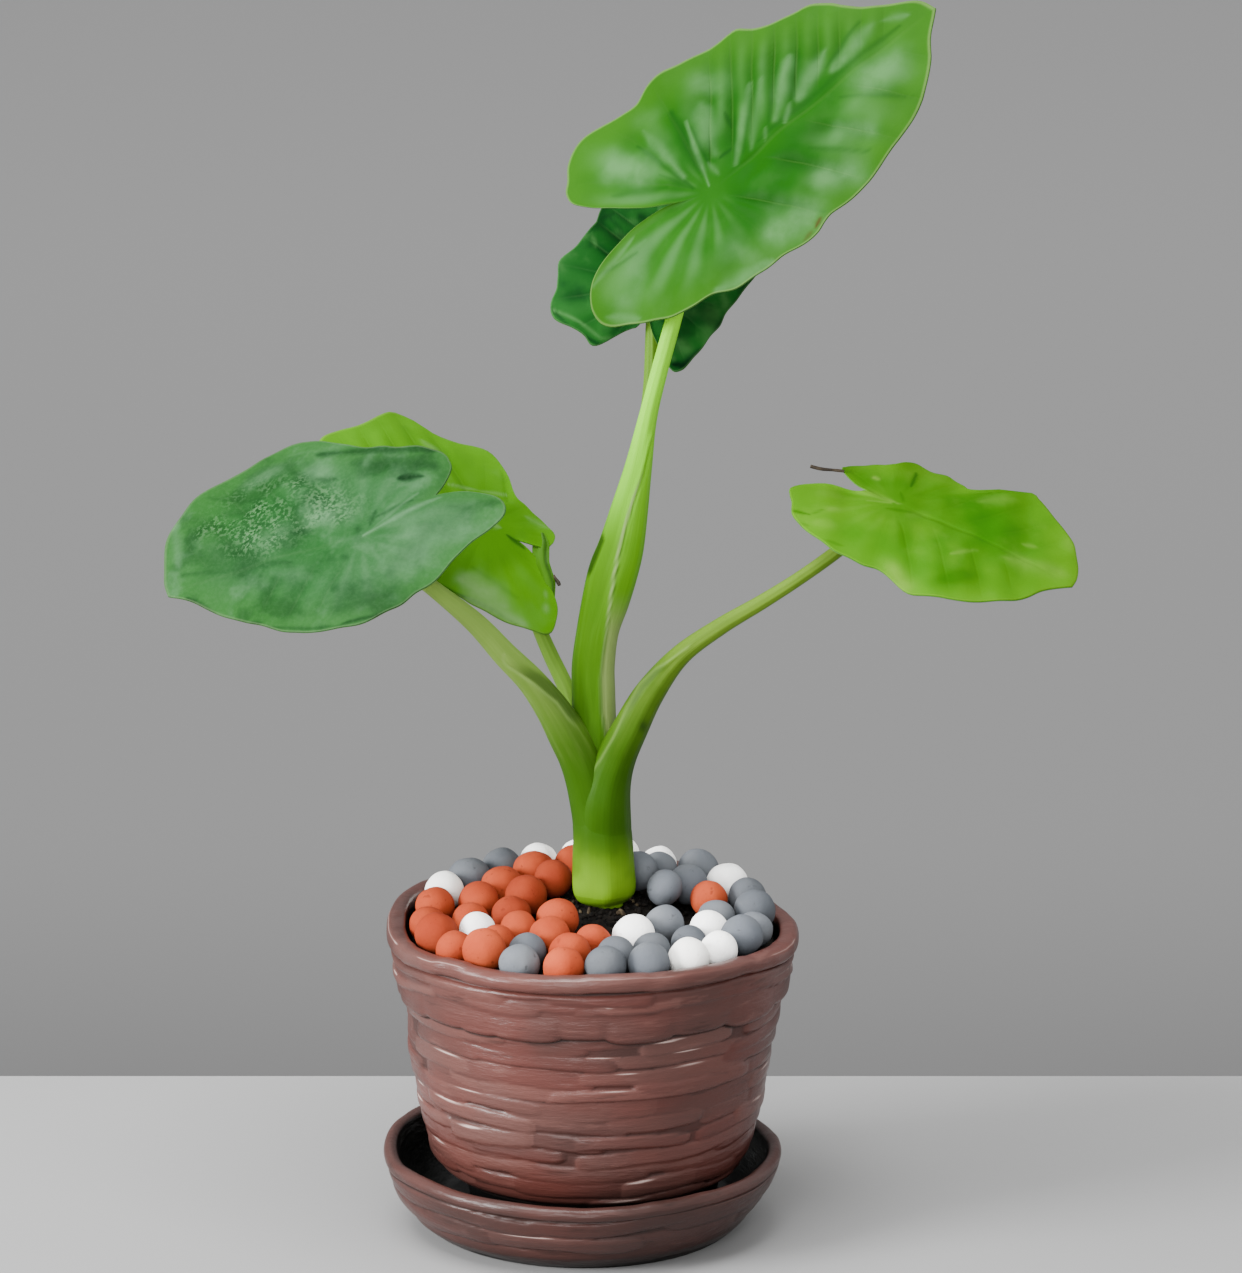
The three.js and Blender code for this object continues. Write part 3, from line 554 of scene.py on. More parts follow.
def make_lobes(draw, count):
    """The collar's stones: centre angle, half width, lift and thickness of each."""
    widths = 0.5 + draw.random(count)
    spans = widths / widths.sum() * TURN
    centres = np.cumsum(spans) - 0.5 * spans
    halves = (0.55 + 0.2 * draw.random(count)) * spans
    return list(zip(centres, halves, 2.2 * draw.random(count), 0.4 + 1.0 * draw.random(count)))


def collar_shape(lobes):
    """The height of the collar's lower edge and how far its lobes stand out, round the pot."""
    edge = np.full(ROUND, 4.0)
    out = np.zeros(ROUND)
    for centre, half, lift, thick in lobes:
        x = np.abs((angles - centre + np.pi) % TURN - np.pi) / half
        edge = np.minimum(edge, lift + 2.4 * x ** 4)
        out = np.maximum(out, thick * np.clip(1 - x ** 3, 0, 1))
    return edge, out


def put_body(wall, draw, foot):
    """The laid wall from the waist up to behind the collar, with the shadow of the collar's foot painted on
    it.
    """
    stones = lay_slates(draw, WAIST_Z - 1, COLLAR_Z, COURSES, STONES_ROUND, (1.9, 3.5), (0.0, 1.2))
    for z in np.arange(WAIST_Z - 1.4, COLLAR_Z - 0.4, ROW_STEP):
        relief, unshaded, tone = slate_relief(stones, angles, z + 0 * angles)
        body = pot_body_radius(z) + left_bulge(angles) * (1 - smooth(z, 60, 74))
        low = smooth(-z, -WAIST_Z - 2.5, -WAIST_Z + 1.2)
        shade = smooth(z - foot, -1.7, -0.4)
        # Painted shade: darker under the collar's foot, and towards the waist down to near black.
        wall.put(body + relief - 0.45 - 2.6 * low ** 2, z, unshaded * (1 - 0.7 * low) * (1 - shade),
                 0.8 * low ** 2, tone)


def put_collar(wall, draw, foot, out):
    """The collar, from the lower edge of its lobes up to the crease under the lip."""
    top = POT_RIM - LIP_HEIGHT - 0.2 + brow_rise + 0.5 * unevenness(angles, 10)
    stones = lay_slates(draw, COLLAR_Z + 4, COLLAR_Z + 13, 2, STONES_ROUND, (1.2, 2.8), (0.1, 1.0))
    # Painted shade: the two rows under the lobes are dark.
    wall.put(pot_body_radius(COLLAR_Z) - 0.2, foot + 1.4, 0.0)
    wall.put(COLLAR_RADIUS - 0.8 + 0.4 * out, foot + 0.1, 0.2)
    for share in np.linspace(0, 1, 30) ** 1.15:
        z = foot + (top - foot) * share
        relief, unshaded, tone = slate_relief(stones, angles, z - brow_rise * 0.9)
        near = smooth(z, COLLAR_Z + 1, COLLAR_Z + 5) * (1 - 0.9 * smooth(share, 0.9, 1))
        rounded = 0.9 * (1 - np.clip(1 - share / 0.09, 0, 1) ** 2) - 0.9
        pillow = 0.8 * out * (1 - smooth(z - foot, 3.5, 10)) + rounded
        crease = smooth(share, 0.93, 1.0)
        # Painted shade darkens the lobes' lower edges and the crease under the lip.
        wall.put(COLLAR_RADIUS + 1.7 * share + pillow + near * (relief + 0.35) - 1.2 * crease, z,
                 0.35 + 0.65 * smooth(z - foot, 0.1, 1.1) - crease, 0, tone * near + 0.25 * (1 - near))


print("the pot's body widens from", pot_body_radius(WAIST_Z), "to", pot_body_radius(COLLAR_Z), "mm")

# %% [markdown]
# The lip is a roll that fingers have pinched into blocks, and its top catches the light in short dashes.
# After it the net runs down the inside to the drain hole, where its last row meets its first.

# %% Pot
def put_lip(wall, draw):
    """The pinched roll of the lip, from the crease over the top to the inside."""
    pinch = pinched(angles, draw, 23, 1.3, 0.05) - 0.65
    bump = pinched(angles, draw, 27, 1.3, 0.035) - 0.7
    tone = 0.35 + 0.5 * pinched(angles, draw, 14, 1.0, 0.05)
    spots = pinched(angles, np.random.default_rng(GLINT_SEED), 19, 1.0, 0.045)
    low = POT_RIM - LIP_HEIGHT + brow_rise + 0.7 * bump
    high = POT_RIM + 0.4 + rim_rise + 0.45 * unevenness(angles, 11) + 0.7 * bump
    middle, half = 0.5 * (low + high), 0.5 * (high - low)
    for turn in np.radians(np.linspace(-84, 176, 26)):
        across = np.sign(np.cos(turn)) * np.abs(np.cos(turn)) ** 0.8
        up = np.sign(np.sin(turn)) * np.abs(np.sin(turn)) ** 0.9
        outer = LIP_RADIUS + (LIP_ROLL + 0.9 * pinch + 0.4 * unevenness(angles, 12)) * across
        inside = smooth(-across, 0.2, 0.9)
        # Painted highlights: short pale dashes along the top of the roll.
        shine = 1.6 * spots * bell(turn - 0.75, 0.13)
        # Painted shade under the roll, and near-black painted shade as it turns inside.
        wall.put(outer * (1 - inside) + LIP_INSIDE * inside, middle + half * up, 1 - 0.8 * (turn < -1.25),
                 smooth(turn, 2.7, 3.1), tone + shine)


def make_pot():
    draw = np.random.default_rng(POT_SEED)
    wall = Wall()
    # The underside, up to the waist, gets near-black painted shade.
    for radius, height in [(DRAIN_RADIUS, POT_BASE), (36.5, POT_BASE), (37.6, POT_BASE + 0.4),
                           (38, POT_BASE + 1.2), (39.2, 11), (40.4, WAIST_Z - 2.4)]:
        wall.put(radius, height, 0, 1)
    wall.put(42.0 + left_bulge(angles), WAIST_Z - 1.7, 0, 1)
    edge, out = collar_shape(make_lobes(draw, LOBES))
    foot = COLLAR_Z - 2.2 + edge
    put_body(wall, draw, foot)
    put_collar(wall, draw, foot, out)
    put_lip(wall, draw)
    slope = (INSIDE_RIM_RADIUS - INSIDE_FOOT_RADIUS) / (POT_RIM - 1 - FLOOR_Z)
    # The inside, down to the drain hole, gets near-black painted shade.
    for share in np.linspace(0.04, 1, 10):
        z = MOUTH_Z + (FLOOR_Z - MOUTH_Z) * share
        wall.put(INSIDE_FOOT_RADIUS + slope * (z - FLOOR_Z), z, 1, 1)
    wall.put(DRAIN_RADIUS, FLOOR_Z, 1, 1)
    points, measures = wall.net(POT_X)
    faces = net_faces(len(wall.rows), ROUND, closed_rows=True)
    return make_piece("slate_pot", points, faces, pot_glaze, {"relief": measures})


dress(make_pot(), ["pot"])

# %% [markdown]
# ## The saucer
# The saucer is made like the pot, in three low courses under a rolled rim. Its wall is one run of
# rings from the foot over the rim to the floor inside, and a flat disc closes it at either end.

# %% Saucer
SAUCER_SEED = 31
SAUCER_FLOOR = 4.0
SAUCER_FOOT_RADIUS = 46.8
SAUCER_LIP_RADIUS, SAUCER_LIP_Z = 59.9, 22.4
SAUCER_COURSES, SAUCER_STONES_ROUND = 3, 7
SAUCER_ROW_STEP = 0.45
saucer_rise = 0.5 * unevenness(angles, 24) + 2.6 * back_rise


def put_saucer_wall(wall, draw):
    """The outside, from the foot up, in three rough courses."""
    stones = lay_slates(draw, 1.0, 20.5, SAUCER_COURSES, SAUCER_STONES_ROUND, (2.6, 4.4), (0.0, 2.0))
    for z in np.arange(0.6, 20.6, SAUCER_ROW_STEP):
        relief, unshaded, tone = slate_relief(stones, angles, z + 0.9 * unevenness(angles, 7.4))
        body = np.interp(z, [0, 1.4, 4.8, 8.3, 11.5, 15.5, 20.6],
                         [SAUCER_FOOT_RADIUS, 49.0, 52.6, 54.6, 57.0, 59.0, 61.3])
        low = smooth(-z, -5, 0)
        # Painted shade: darker towards the foot, nearly black at the bottom.
        wall.put(body + left_bulge(angles) + relief * (1 - low) - 0.55,
                 z + 0.4 * saucer_rise * smooth(z, 8, 20),
                 unshaded * (1 - 0.5 * low), 0.9 * smooth(-z, -9, -0.5), tone)


def put_saucer_lip(wall, draw):
    """The rolled rim, from the last course over the top to the inside."""
    pinch = pinched(angles, draw, 17, 1.0, 0.09) - 0.5
    bump = pinched(angles, draw, 19, 1.9, 0.07) - 0.95
    tone = 0.25 + 0.5 * pinched(angles, draw, 12, 1.0, 0.06)
    lip = saucer_rise + 0.5 * bump
    out = left_bulge(angles) + 0.3 * unevenness(angles, 22)
    for turn in np.radians(np.linspace(-52, 168, 22)):
        across, up = np.cos(turn), np.sin(turn)
        middle = SAUCER_LIP_RADIUS - 0.3 * smooth(turn, 1.5, 2.9)
        # Painted shade under the rim; the inside turns nearly black.
        wall.put(middle + out + (2.2 + 0.5 * pinch) * across, SAUCER_LIP_Z + lip + 2.3 * up,
                 1 - (turn < -0.8), smooth(turn, 2.2, 2.8), tone)


def make_saucer():
    draw = np.random.default_rng(SAUCER_SEED)
    wall = Wall()
    # The underside gets near-black painted shade.
    wall.put(SAUCER_FOOT_RADIUS - 0.6, 0, 0, 0.8)
    wall.put(SAUCER_FOOT_RADIUS, 0.15, 0, 0.8)
    put_saucer_wall(wall, draw)
    put_saucer_lip(wall, draw)
    # The inside is nearly black.
    for radius, height in [(56.6, 18), (55.9, 14.5), (52.5, 9.5), (49, 5.6),
                           (46, SAUCER_FLOOR), (30, SAUCER_FLOOR)]:
        wall.put(radius, height, 1, 1)
    points, measures = wall.net(0)
    faces = capped_net(len(wall.rows), ROUND)
    return make_piece("slate_saucer", points, faces, saucer_glaze, {"relief": measures})


dress(make_saucer(), ["saucer"])

# %% [markdown]
# ## The soil
# Only a dark patch of soil shows round the stem, between the beads. It is a plug with a heaped top,
# and its top is roughened point by point.

# %% Soil
STEM_X, STEM_Y = 6.2, 12.0
SOIL_EDGE, MOUND, MOUND_SPREAD, BACK_SLOPE = 91.3, 8.8, 17.0, 0.1
SOIL_GLOSS = 0.12
SOIL_RADIUS = 56.8
SOIL_UNEVENNESS = 0.9
SOIL_SEED = 5


def soil_top(x, y):
    """The height of the soil: a mound round the stem, on a bed that rises towards the back."""
    squared = (x - STEM_X) ** 2 + (y - STEM_Y) ** 2
    heap = MOUND * np.exp(-0.5 * squared / MOUND_SPREAD ** 2)
    return SOIL_EDGE + heap + BACK_SLOPE * np.maximum(y, 0)


def soil_finish():
    finish = Finish("dark potting soil", SOIL_GLOSS)
    crumb = finish.noise(700, 5, roughness=0.7)
    fibre = finish.noise(240, 3)
    colour = finish.mix(crumb.step(0.35, 0.75), (0.0016, 0.0014, 0.0012), (0.0111, 0.0079, 0.0056))
    return finish.paint(colour, 0.75 + fibre * 0.2, finish.bump(crumb + fibre, 0.0012, 0.8))


def make_soil():
    draw = np.random.default_rng(SOIL_SEED)
    columns, rings = 120, 60
    around = np.arange(columns) * TURN / columns
    outline = [(0.4, 9.8), (34.5, 9.8), (56.6, 90.6)]
    rows = [np.stack([POT_X + r * np.cos(around), r * np.sin(around), z + 0 * around], -1)
            for r, z in outline]
    for ring in range(rings, 0, -1):
        r = SOIL_RADIUS * ring / rings
        x, y = POT_X + r * np.cos(around), r * np.sin(around)
        rough = SOIL_UNEVENNESS * (draw.random(columns) - 0.5) * (ring < rings)
        rows.append(np.stack([x, y, soil_top(x, y) + rough - 0.4], -1))
    return make_piece("potting_soil", np.vstack(rows), capped_net(len(rows), columns), soil_finish())


dress(make_soil(), ["soil"])

# %% [markdown]
# ## Clay beads: where they lie
# The beads are laid in rings, and each ring starts as an even circle with small random shifts. Then
# they push each other apart until none touch, keep off the stem, and rest on the soil. The random
# draws come from a fixed seed, so every run lays them alike.

# %% Laying the beads
BEAD_RADIUS, BEAD_SPREAD, BEAD_ROOM = 6.35, 0.6, 0.4
STEM_ROOM, POT_MOUTH, TOUCH = 10.2, INSIDE_RIM_RADIUS, 0.35
LAYING_SEED, LAYING_STEPS = 4711, 80
DRAW_FACTOR, DRAW_PRIME = 16807, 2147483647
RINGS = [
    (51, 0.33, "GGGWWGGTGTTTTTWGGWWWWGWG"),
    (38.5, 1, "TGWGGGTGTWTTTTTGGG"),
    (25.4, 0, "-GWTTTTTT-GG"),
    (15, 0, "---T----"),
]


def draws(seed):
    """Even random numbers between 0 and 1, by the rule that the fixed model uses too."""
    state = seed
    while True:
        state = state * DRAW_FACTOR % DRAW_PRIME
        yield state / DRAW_PRIME


def first_places():
    """Each bead's centre, radius, lift and colour, before the beads push each other apart."""
    draw = draws(LAYING_SEED)
    beads = []
    for ring_radius, turned, colours in RINGS:
        step = -TURN / len(colours)
        for k, colour in enumerate(colours):
            reach = ring_radius + 1.6 * (next(draw) - 0.5)
            angle = step * (k - turned + 0.16 * (next(draw) - 0.5))
            radius = BEAD_RADIUS + BEAD_SPREAD * (2 * next(draw) - 1)
            lift = 2.4 * next(draw) * next(draw)
            if colour != "-":
                beads.append([POT_X + reach * math.cos(angle), reach * math.sin(angle), 0.0,
                              radius, lift, colour])
    return beads


def settle(beads):
    """One step of pushing beads apart, off the stem, inside the pot and onto the soil."""
    for i, bead in enumerate(beads):
        bead[2] = soil_top(bead[0], bead[1]) + bead[3] + TOUCH + bead[4]
        for other in beads[:i]:
            gap = [bead[n] - other[n] for n in range(3)]
            away = math.hypot(*gap)
            push = 0.5 * (bead[3] + other[3] + BEAD_ROOM - away) / away
            if push > 0:
                for n in range(2):
                    bead[n] += gap[n] * push
                    other[n] -= gap[n] * push
                bead[4] += max(gap[2], 0) * push
                other[4] += max(-gap[2], 0) * push
        sx, sy = bead[0] - STEM_X, bead[1] - STEM_Y
        off, room = math.hypot(sx, sy), STEM_ROOM + bead[3]
        if off < room:
            bead[0], bead[1] = STEM_X + sx * room / off, STEM_Y + sy * room / off
        px = bead[0] - POT_X
        out, most = math.hypot(px, bead[1]), POT_MOUTH - bead[3] - TOUCH - 0.3
        if out > most:
            bead[0], bead[1] = POT_X + px * most / out, bead[1] * most / out


beads = first_places()
for _ in range(LAYING_STEPS):
    settle(beads)
print(len(beads), "beads laid")

# %% [markdown]
# ## Clay beads: Geometry Nodes
# A repeated shape is what Geometry Nodes are for. The tree below puts a ball on every point, turns and
# scales it by numbers that the point carries, makes the copies real, and pushes their surface in and
# out a little, because clay is rolled by hand. It is built once, and each colour uses it.

# %% Bead tree
def bead_tree():
    tree = bpy.data.node_groups.new("clay beads", "GeometryNodeTree")
    for name, kind in (("Points", "NodeSocketGeometry"), ("Subdivisions", "NodeSocketInt"),
                       ("Lump depth", "NodeSocketFloat"), ("Lump scale", "NodeSocketFloat"),
                       ("Clay", "NodeSocketMaterial")):
        tree.interface.new_socket(name, in_out="INPUT", socket_type=kind)
    tree.interface.new_socket("Beads", in_out="OUTPUT", socket_type="NodeSocketGeometry")

    def held(name):
        """A vector that each point carries under this name."""
        kind = "GeometryNodeInputNamedAttribute"
        return node(kind, {"data_type": "FLOAT_VECTOR"}, {"Name": name})

    def node(kind, settings=None, inputs=None):
        return add_node(tree, kind, settings, inputs).outputs[0]

    given = add_node(tree, "NodeGroupInput").outputs
    ball = node("GeometryNodeMeshIcoSphere", None, {"Radius": 1.0, "Subdivisions": given["Subdivisions"]})
    spin = node("FunctionNodeEulerToRotation", None, {0: held("turn")})
    copies = {"Points": given["Points"], "Instance": ball, "Rotation": spin, "Scale": held("size")}
    laid = node("GeometryNodeInstanceOnPoints", None, copies)
    real = node("GeometryNodeRealizeInstances", None, {"Geometry": laid})
    noise = node("ShaderNodeTexNoise", None, {"Scale": given["Lump scale"], "Detail": 1.0})
    shift = node("ShaderNodeMath", {"operation": "SUBTRACT"}, {0: noise, 1: 0.5})
    depth = node("ShaderNodeMath", {"operation": "MULTIPLY"}, {0: shift, 1: given["Lump depth"]})
    normal = node("GeometryNodeInputNormal")
    out = node("ShaderNodeVectorMath", {"operation": "SCALE"}, {0: normal, "Scale": depth})
    moved = node("GeometryNodeSetPosition", None, {"Geometry": real, "Offset": out})
    soft = node("GeometryNodeSetShadeSmooth", None, {"Geometry": moved})
    clay = node("GeometryNodeSetMaterial", None, {"Geometry": soft, "Material": given["Clay"]})
    add_node(tree, "NodeGroupOutput", None, {"Beads": clay})
    return tree


def grow(tree, name, points, measures, settings):
    """Runs a Geometry Nodes tree on bare points and returns its result as a plain mesh object."""
    holder = place_object(name + " holder", make_mesh(name + " points", points, [], measures))
    modifier = holder.modifiers.new("nodes", "NODES")
    modifier.node_group = tree
    for item in tree.interface.items_tree:
        if item.name in settings:
            modifier[item.identifier] = settings[item.name]
    evaluated = holder.evaluated_get(bpy.context.evaluated_depsgraph_get())
    result = bpy.data.meshes.new_from_object(evaluated)
    bpy.data.objects.remove(holder)
    return place_object(name, result)


beads_tree = bead_tree()
print("the bead tree has", len(beads_tree.nodes), "nodes")

# %% [markdown]
# ## Clay beads: three colours
# Fired clay is matt and slightly powdery. Its colour drifts over each bead, and a fine bump keeps the
# surface from looking like plastic. The beads are turned at random and are never quite round.

# %% Beads
CLAY_GLOSS = 0.1


def clay_finish(name, main, dusty, deep):
    finish = Finish(name, CLAY_GLOSS)
    drift = finish.noise(90, 2)
    powder = finish.noise(900, 4, roughness=0.65)
    pit = finish.noise(420, 2).step(0.66, 0.74)
    own = finish.measure("turn")[0] / TURN
    colour = finish.coats(
        main,
        (drift.step(0.3, 0.72) * 0.6 + own * 0.4, dusty),
        ((1 - own).step(0.55, 1.0) * 0.45, deep),
        (pit * 0.5, deep),
    )
    height = powder * 0.6 - pit * 0.5 + drift * 0.5
    return finish.paint(colour, 0.72 + powder * 0.2, finish.bump(height, 0.0004, 0.5))


CLAYS = {
    "terracotta": ("T", (0.2300, 0.0270, 0.0079), (0.3336, 0.0536, 0.0179), (0.1193, 0.0139, 0.0048)),
    "white": ("W", (0.985, 0.98, 0.95), (0.995, 0.99, 0.97), (0.86, 0.84, 0.78)),
    "grey": ("G", (0.0850, 0.0950, 0.1114), (0.1229, 0.1307, 0.1407), (0.0476, 0.0516, 0.0556)),
}


def make_beads(colour):
    letter, main, dusty, deep = CLAYS[colour]
    draw = np.random.default_rng(ord(letter))
    mine = [bead for bead in beads if bead[5] == letter]
    sizes = [np.array([1, 1, 1]) * bead[3] * MM * (0.97 + 0.06 * draw.random(3)) for bead in mine]
    settings = {"Subdivisions": 4, "Lump depth": 0.0011, "Lump scale": 130.0,
                "Clay": clay_finish(colour + " clay", main, dusty, deep)}
    measures = {"size": sizes, "turn": draw.random((len(mine), 3)) * TURN}
    return grow(beads_tree, colour + "_beads", [bead[:3] for bead in mine], measures, settings)


for colour in CLAYS:
    held = sorted(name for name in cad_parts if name.startswith("beads_" + colour))
    dress(make_beads(colour), held)

# %% [markdown]
# ## Crumbs and root stubs
# Where the beads leave the soil bare, loose crumbs of peat lie on it, and a few brown stubs of old
# roots and leaf scales stand at the foot of the stem. They are the bead tree again, with small,
# stretched and rougher balls.

# %% Crumbs
ROOT_GLOSS = 0.15


def root_finish():
    finish = Finish("root brown", ROOT_GLOSS)
    fibre = finish.noise(400, 3)
    colour = finish.mix(fibre.step(0.35, 0.7), (0.0214, 0.0143, 0.0071), (0.0714, 0.0536, 0.0286))
    return finish.paint(colour, 0.7 + fibre * 0.2, finish.bump(fibre, 0.0005, 0.6))


def scatter(name, count, reach, sizes, stretch, material, seed):
    """Balls on the soil around the stem, from its foot outwards."""
    draw = np.random.default_rng(seed)
    heading = draw.random(count) * TURN
    away = reach[0] + (reach[1] - reach[0]) * draw.random(count) ** 0.8
    x, y = STEM_X + away * np.cos(heading), STEM_Y + away * np.sin(heading)
    size = (sizes[0] + (sizes[1] - sizes[0]) * draw.random(count) ** 2) * MM
    shape = 1 + (np.array(stretch) - 1) * draw.random((count, 3))
    settings = {"Subdivisions": 2, "Lump depth": 0.0006, "Lump scale": 900.0, "Clay": material}
    measures = {"size": size[:, None] * shape, "turn": draw.random((count, 3)) * TURN}
    dress(grow(beads_tree, name, np.stack([x, y, soil_top(x, y)], -1), measures, settings))


scatter("soil_crumbs", count=420, reach=(7.5, 30), sizes=(0.3, 1.0), stretch=(1.6, 1.2, 0.8),
        material=soil_finish(), seed=21)
scatter("root_stubs", count=14, reach=(8.2, 10.2), sizes=(0.5, 1.0), stretch=(3.0, 1.0, 1.0),
        material=root_finish(), seed=22)

# %% [markdown]
# ## Stem and stalks: the finish
# Stem and stalks are juicy and green: pale at the foot, dark on the sheaths that wrap the stem, and
# each stalk's own green higher up. The thin edge of a sheath is whitish. Fine lengthwise lines run
# along them. The tall stalk's top is painted lighter still, as painted light that lifts the shade of
# the blade above it. Painted shade lies beside the sheaths' edges, under the tall stalk's wing and at
# the stem's foot, and a painted highlight along the tall stalk's open tube. The mesh stores how far
# along and how far round each point is, so the lines follow every bend.

# %% Green skin
STALK_GLOSS = 0.05
FOOT_GREEN = (0.0980, 0.2050, 0.0060)
SHEATH_GREEN = (0.0190, 0.0600, 0.0012)
BLOTCH_GREEN = (0.0119, 0.0436, 0.0004)
# Painted highlight along the tall stalk's open tube.
TUBE_HIGHLIGHT_GREEN = (0.157, 0.219, 0.065)
# Painted shade beside sheath edges, in folds, under the wing and at the stem's foot, and the colour of a
# dark scar.
SHADE_AND_SCAR_GREEN = (0.0079, 0.0258, 0.0032)
RIM_GREEN = (0.272, 0.4, 0.13)


def stalk_finish(name, high, pale, deep):
    finish = Finish(name, STALK_GLOSS)
    level, around, run = finish.measure("growth")
    light, dark, inner = finish.measure("tint")

    def lines(across, along, shift, detail):
        """Noise that is drawn out along the stalk."""
        inputs = {0: around * across, 1: run * along, 2: shift}
        return finish.noise(1, detail, finish.node("ShaderNodeCombineXYZ", inputs=inputs))

    line, fine = lines(9, 0.02, 0.3, 3), lines(40, 0.05, 0.7, 2)
    blotch = finish.noise(70, 3)
    upper = level.step(1.0, 1.35)
    colour = finish.coats(
        FOOT_GREEN,
        (level.step(0.0, 1.0), SHEATH_GREEN),
        (level.step(1.0, 2.0), high),
        (line.step(0.4, 0.75) * upper * 0.3, pale),
        (blotch.step(0.5, 0.75) * upper * 0.3, deep),
        (blotch.step(0.45, 0.7) * (1 - upper) * 0.35, BLOTCH_GREEN),
        # Painted highlight on the open tube.
        (inner * 0.85, TUBE_HIGHLIGHT_GREEN),
        # Painted shade, and dark scars.
        (dark, SHADE_AND_SCAR_GREEN),
        (light, RIM_GREEN),
    )
    return finish.paint(colour, 0.36 + fine * 0.14, finish.bump(fine, 0.0003, 0.3))


GREENS = {
    "stem green": (SHEATH_GREEN, SHEATH_GREEN, SHEATH_GREEN),
    "right stalk green": ((0.0740, 0.1390, 0.0110), (0.0980, 0.1660, 0.0210), (0.0220, 0.0660, 0.0017)),
    "left stalk green": ((0.1400, 0.2400, 0.0400), (0.1800, 0.2700, 0.0640), (0.0330, 0.1000, 0.0024)),
    # The tall stalk's own lime green, painted lighter still at its top to lift the shade of the blade above
    # it.
    "tall stalk green": ((0.1820, 0.5400, 0.0100), (0.1350, 0.3600, 0.0170), (0.0480, 0.1800, 0.0012)),
    "rear stalk green": ((0.0650, 0.1500, 0.0080), (0.0800, 0.1700, 0.0200), (0.0200, 0.0700, 0.0020)),
    "curled leaf green": ((0.0360, 0.1180, 0.0030), (0.0500, 0.1400, 0.0080), (0.0120, 0.0550, 0.0010)),
    "young stalk green": ((0.1029, 0.2143, 0.0199), (0.1429, 0.2221, 0.0516), (0.0476, 0.1271, 0.0040)),
}
greens = {name: stalk_finish(name, *colours) for name, colours in GREENS.items()}
print(len(greens), "greens are mixed")

# %% [markdown]
# ## Stem and stalks: the shape
# A limb is a tube along a smooth curve whose section changes on the way. Each station gives a point of
# the curve and the half width and half depth there. Taro stalks open at their foot into a sheath
# that wraps the stem, which is why the stations are so much wider below.

# %% Stations
STEM = [
    (6.2, 12, 86, 3.8, 3.8), (6.2, 12, 99.5, 4.2, 4.2), (6.2, 12, 101, 6.6, 6.0), (6.1, 12, 103, 8.9, 8.1),
    (6.0, 12, 106.5, 9.9, 9.0), (5.8, 12, 114, 9.7, 8.9), (5.6, 12, 122, 9.3, 8.6), (5.1, 12, 128, 8.9, 8.1),
    (4.8, 12, 134, 7.8, 7.0), (4.6, 12, 140, 6.2, 5.4), (4.6, 12, 144, 4.4, 3.8),
]
STALKS = {
    "right": [
        (5.8, 12.0, 116, 9.2, 8.4), (5.7, 11.9, 125, 8.95, 8.3), (6.0, 11.1, 134, 8.4, 8.2),
        (7.6, 10.2, 142, 7.2, 7.2), (10.2, 8.4, 149.6, 6.2, 6.0), (13.9, 6.0, 158, 5.6, 5.1),
        (20.2, 4.2, 170.5, 4.7, 4.2), (29.6, 2.2, 183.0, 3.3, 3.2), (41.8, 0.4, 192.6, 2.7, 2.7),
        (55, -1.0, 201, 2.3, 2.3), (66.5, -2.0, 208.8, 2.1, 2.1), (77.6, -2.0, 217, 2.1, 2.1),
        (87.6, -1.0, 225.4, 2.0, 2.0), (93.9, 0.0, 230.2, 1.2, 1.2),
    ],
    "left": [
        (5.4, 12.0, 116, 8.9, 8.2), (4.5, 12.0, 126, 8.3, 7.9), (2.6, 11.7, 134, 7.4, 7.0),
        (0.6, 11.0, 142, 6.9, 6.4), (-1.8, 10.1, 149, 6.6, 5.9), (-5.2, 8.4, 156, 6.2, 5.4),
        (-10.2, 5.4, 165.6, 5.3, 4.7), (-16.6, 1.4, 175.4, 4.4, 4.1), (-24.4, -2.6, 184.6, 3.9, 3.7),
        (-33.6, -6.6, 195.8, 3.3, 3.1), (-46.4, -11.0, 207.8, 2.5, 2.4), (-57.6, -13.6, 217.0, 2.2, 2.2),
        (-66.3, -14.4, 223.4, 1.2, 1.2),
    ],
    "tall": [
        (4.2, 13.6, 134, 5.0, 4.6), (3.6, 13.5, 146, 6.4, 5.3), (3.1, 13.1, 158, 6.8, 5.3),
        (2.8, 12.4, 169, 6.8, 5.1), (2.8, 12.0, 178, 6.7, 5.0), (4.2, 11.2, 189, 6.6, 5.0),
        (6.7, 10.5, 199, 7.4, 5.1), (9.0, 9.8, 208, 7.7, 5.0), (11.4, 9.2, 216, 7.1, 4.8),
        (14.0, 8.2, 228, 5.8, 4.3), (16.8, 7.0, 242, 4.2, 3.7), (19.6, 5.6, 257.5, 2.9, 2.9),
        (23.0, 4.0, 272, 2.6, 2.6), (27.2, 2.8, 288, 2.5, 2.5), (32.6, 1.8, 309, 2.4, 2.4),
        (37.8, 0.9, 326.2, 1.2, 1.2),
    ],
    "left_rear": [
        (2.0, 15.6, 144, 3.4, 3.4), (-1.2, 18.0, 155, 3.0, 3.0), (-5.8, 20.6, 168, 2.6, 2.5),
        (-10.6, 23.0, 178, 2.4, 2.3), (-14.6, 25.4, 187, 2.2, 2.2), (-20.4, 28.2, 202, 2.2, 2.2),
        (-29.2, 28.7, 216.4, 1.2, 1.2),
    ],
    "rear": [
        (7.6, 12.6, 204, 2.6, 2.6), (12.8, 15.8, 222, 2.6, 2.6), (17.6, 19.6, 242, 2.5, 2.5),
        (20.4, 23.4, 262, 2.3, 2.3), (21.2, 27.0, 281, 2.2, 2.2), (20.6, 30.8, 291.8, 1.2, 1.2),
    ],
}
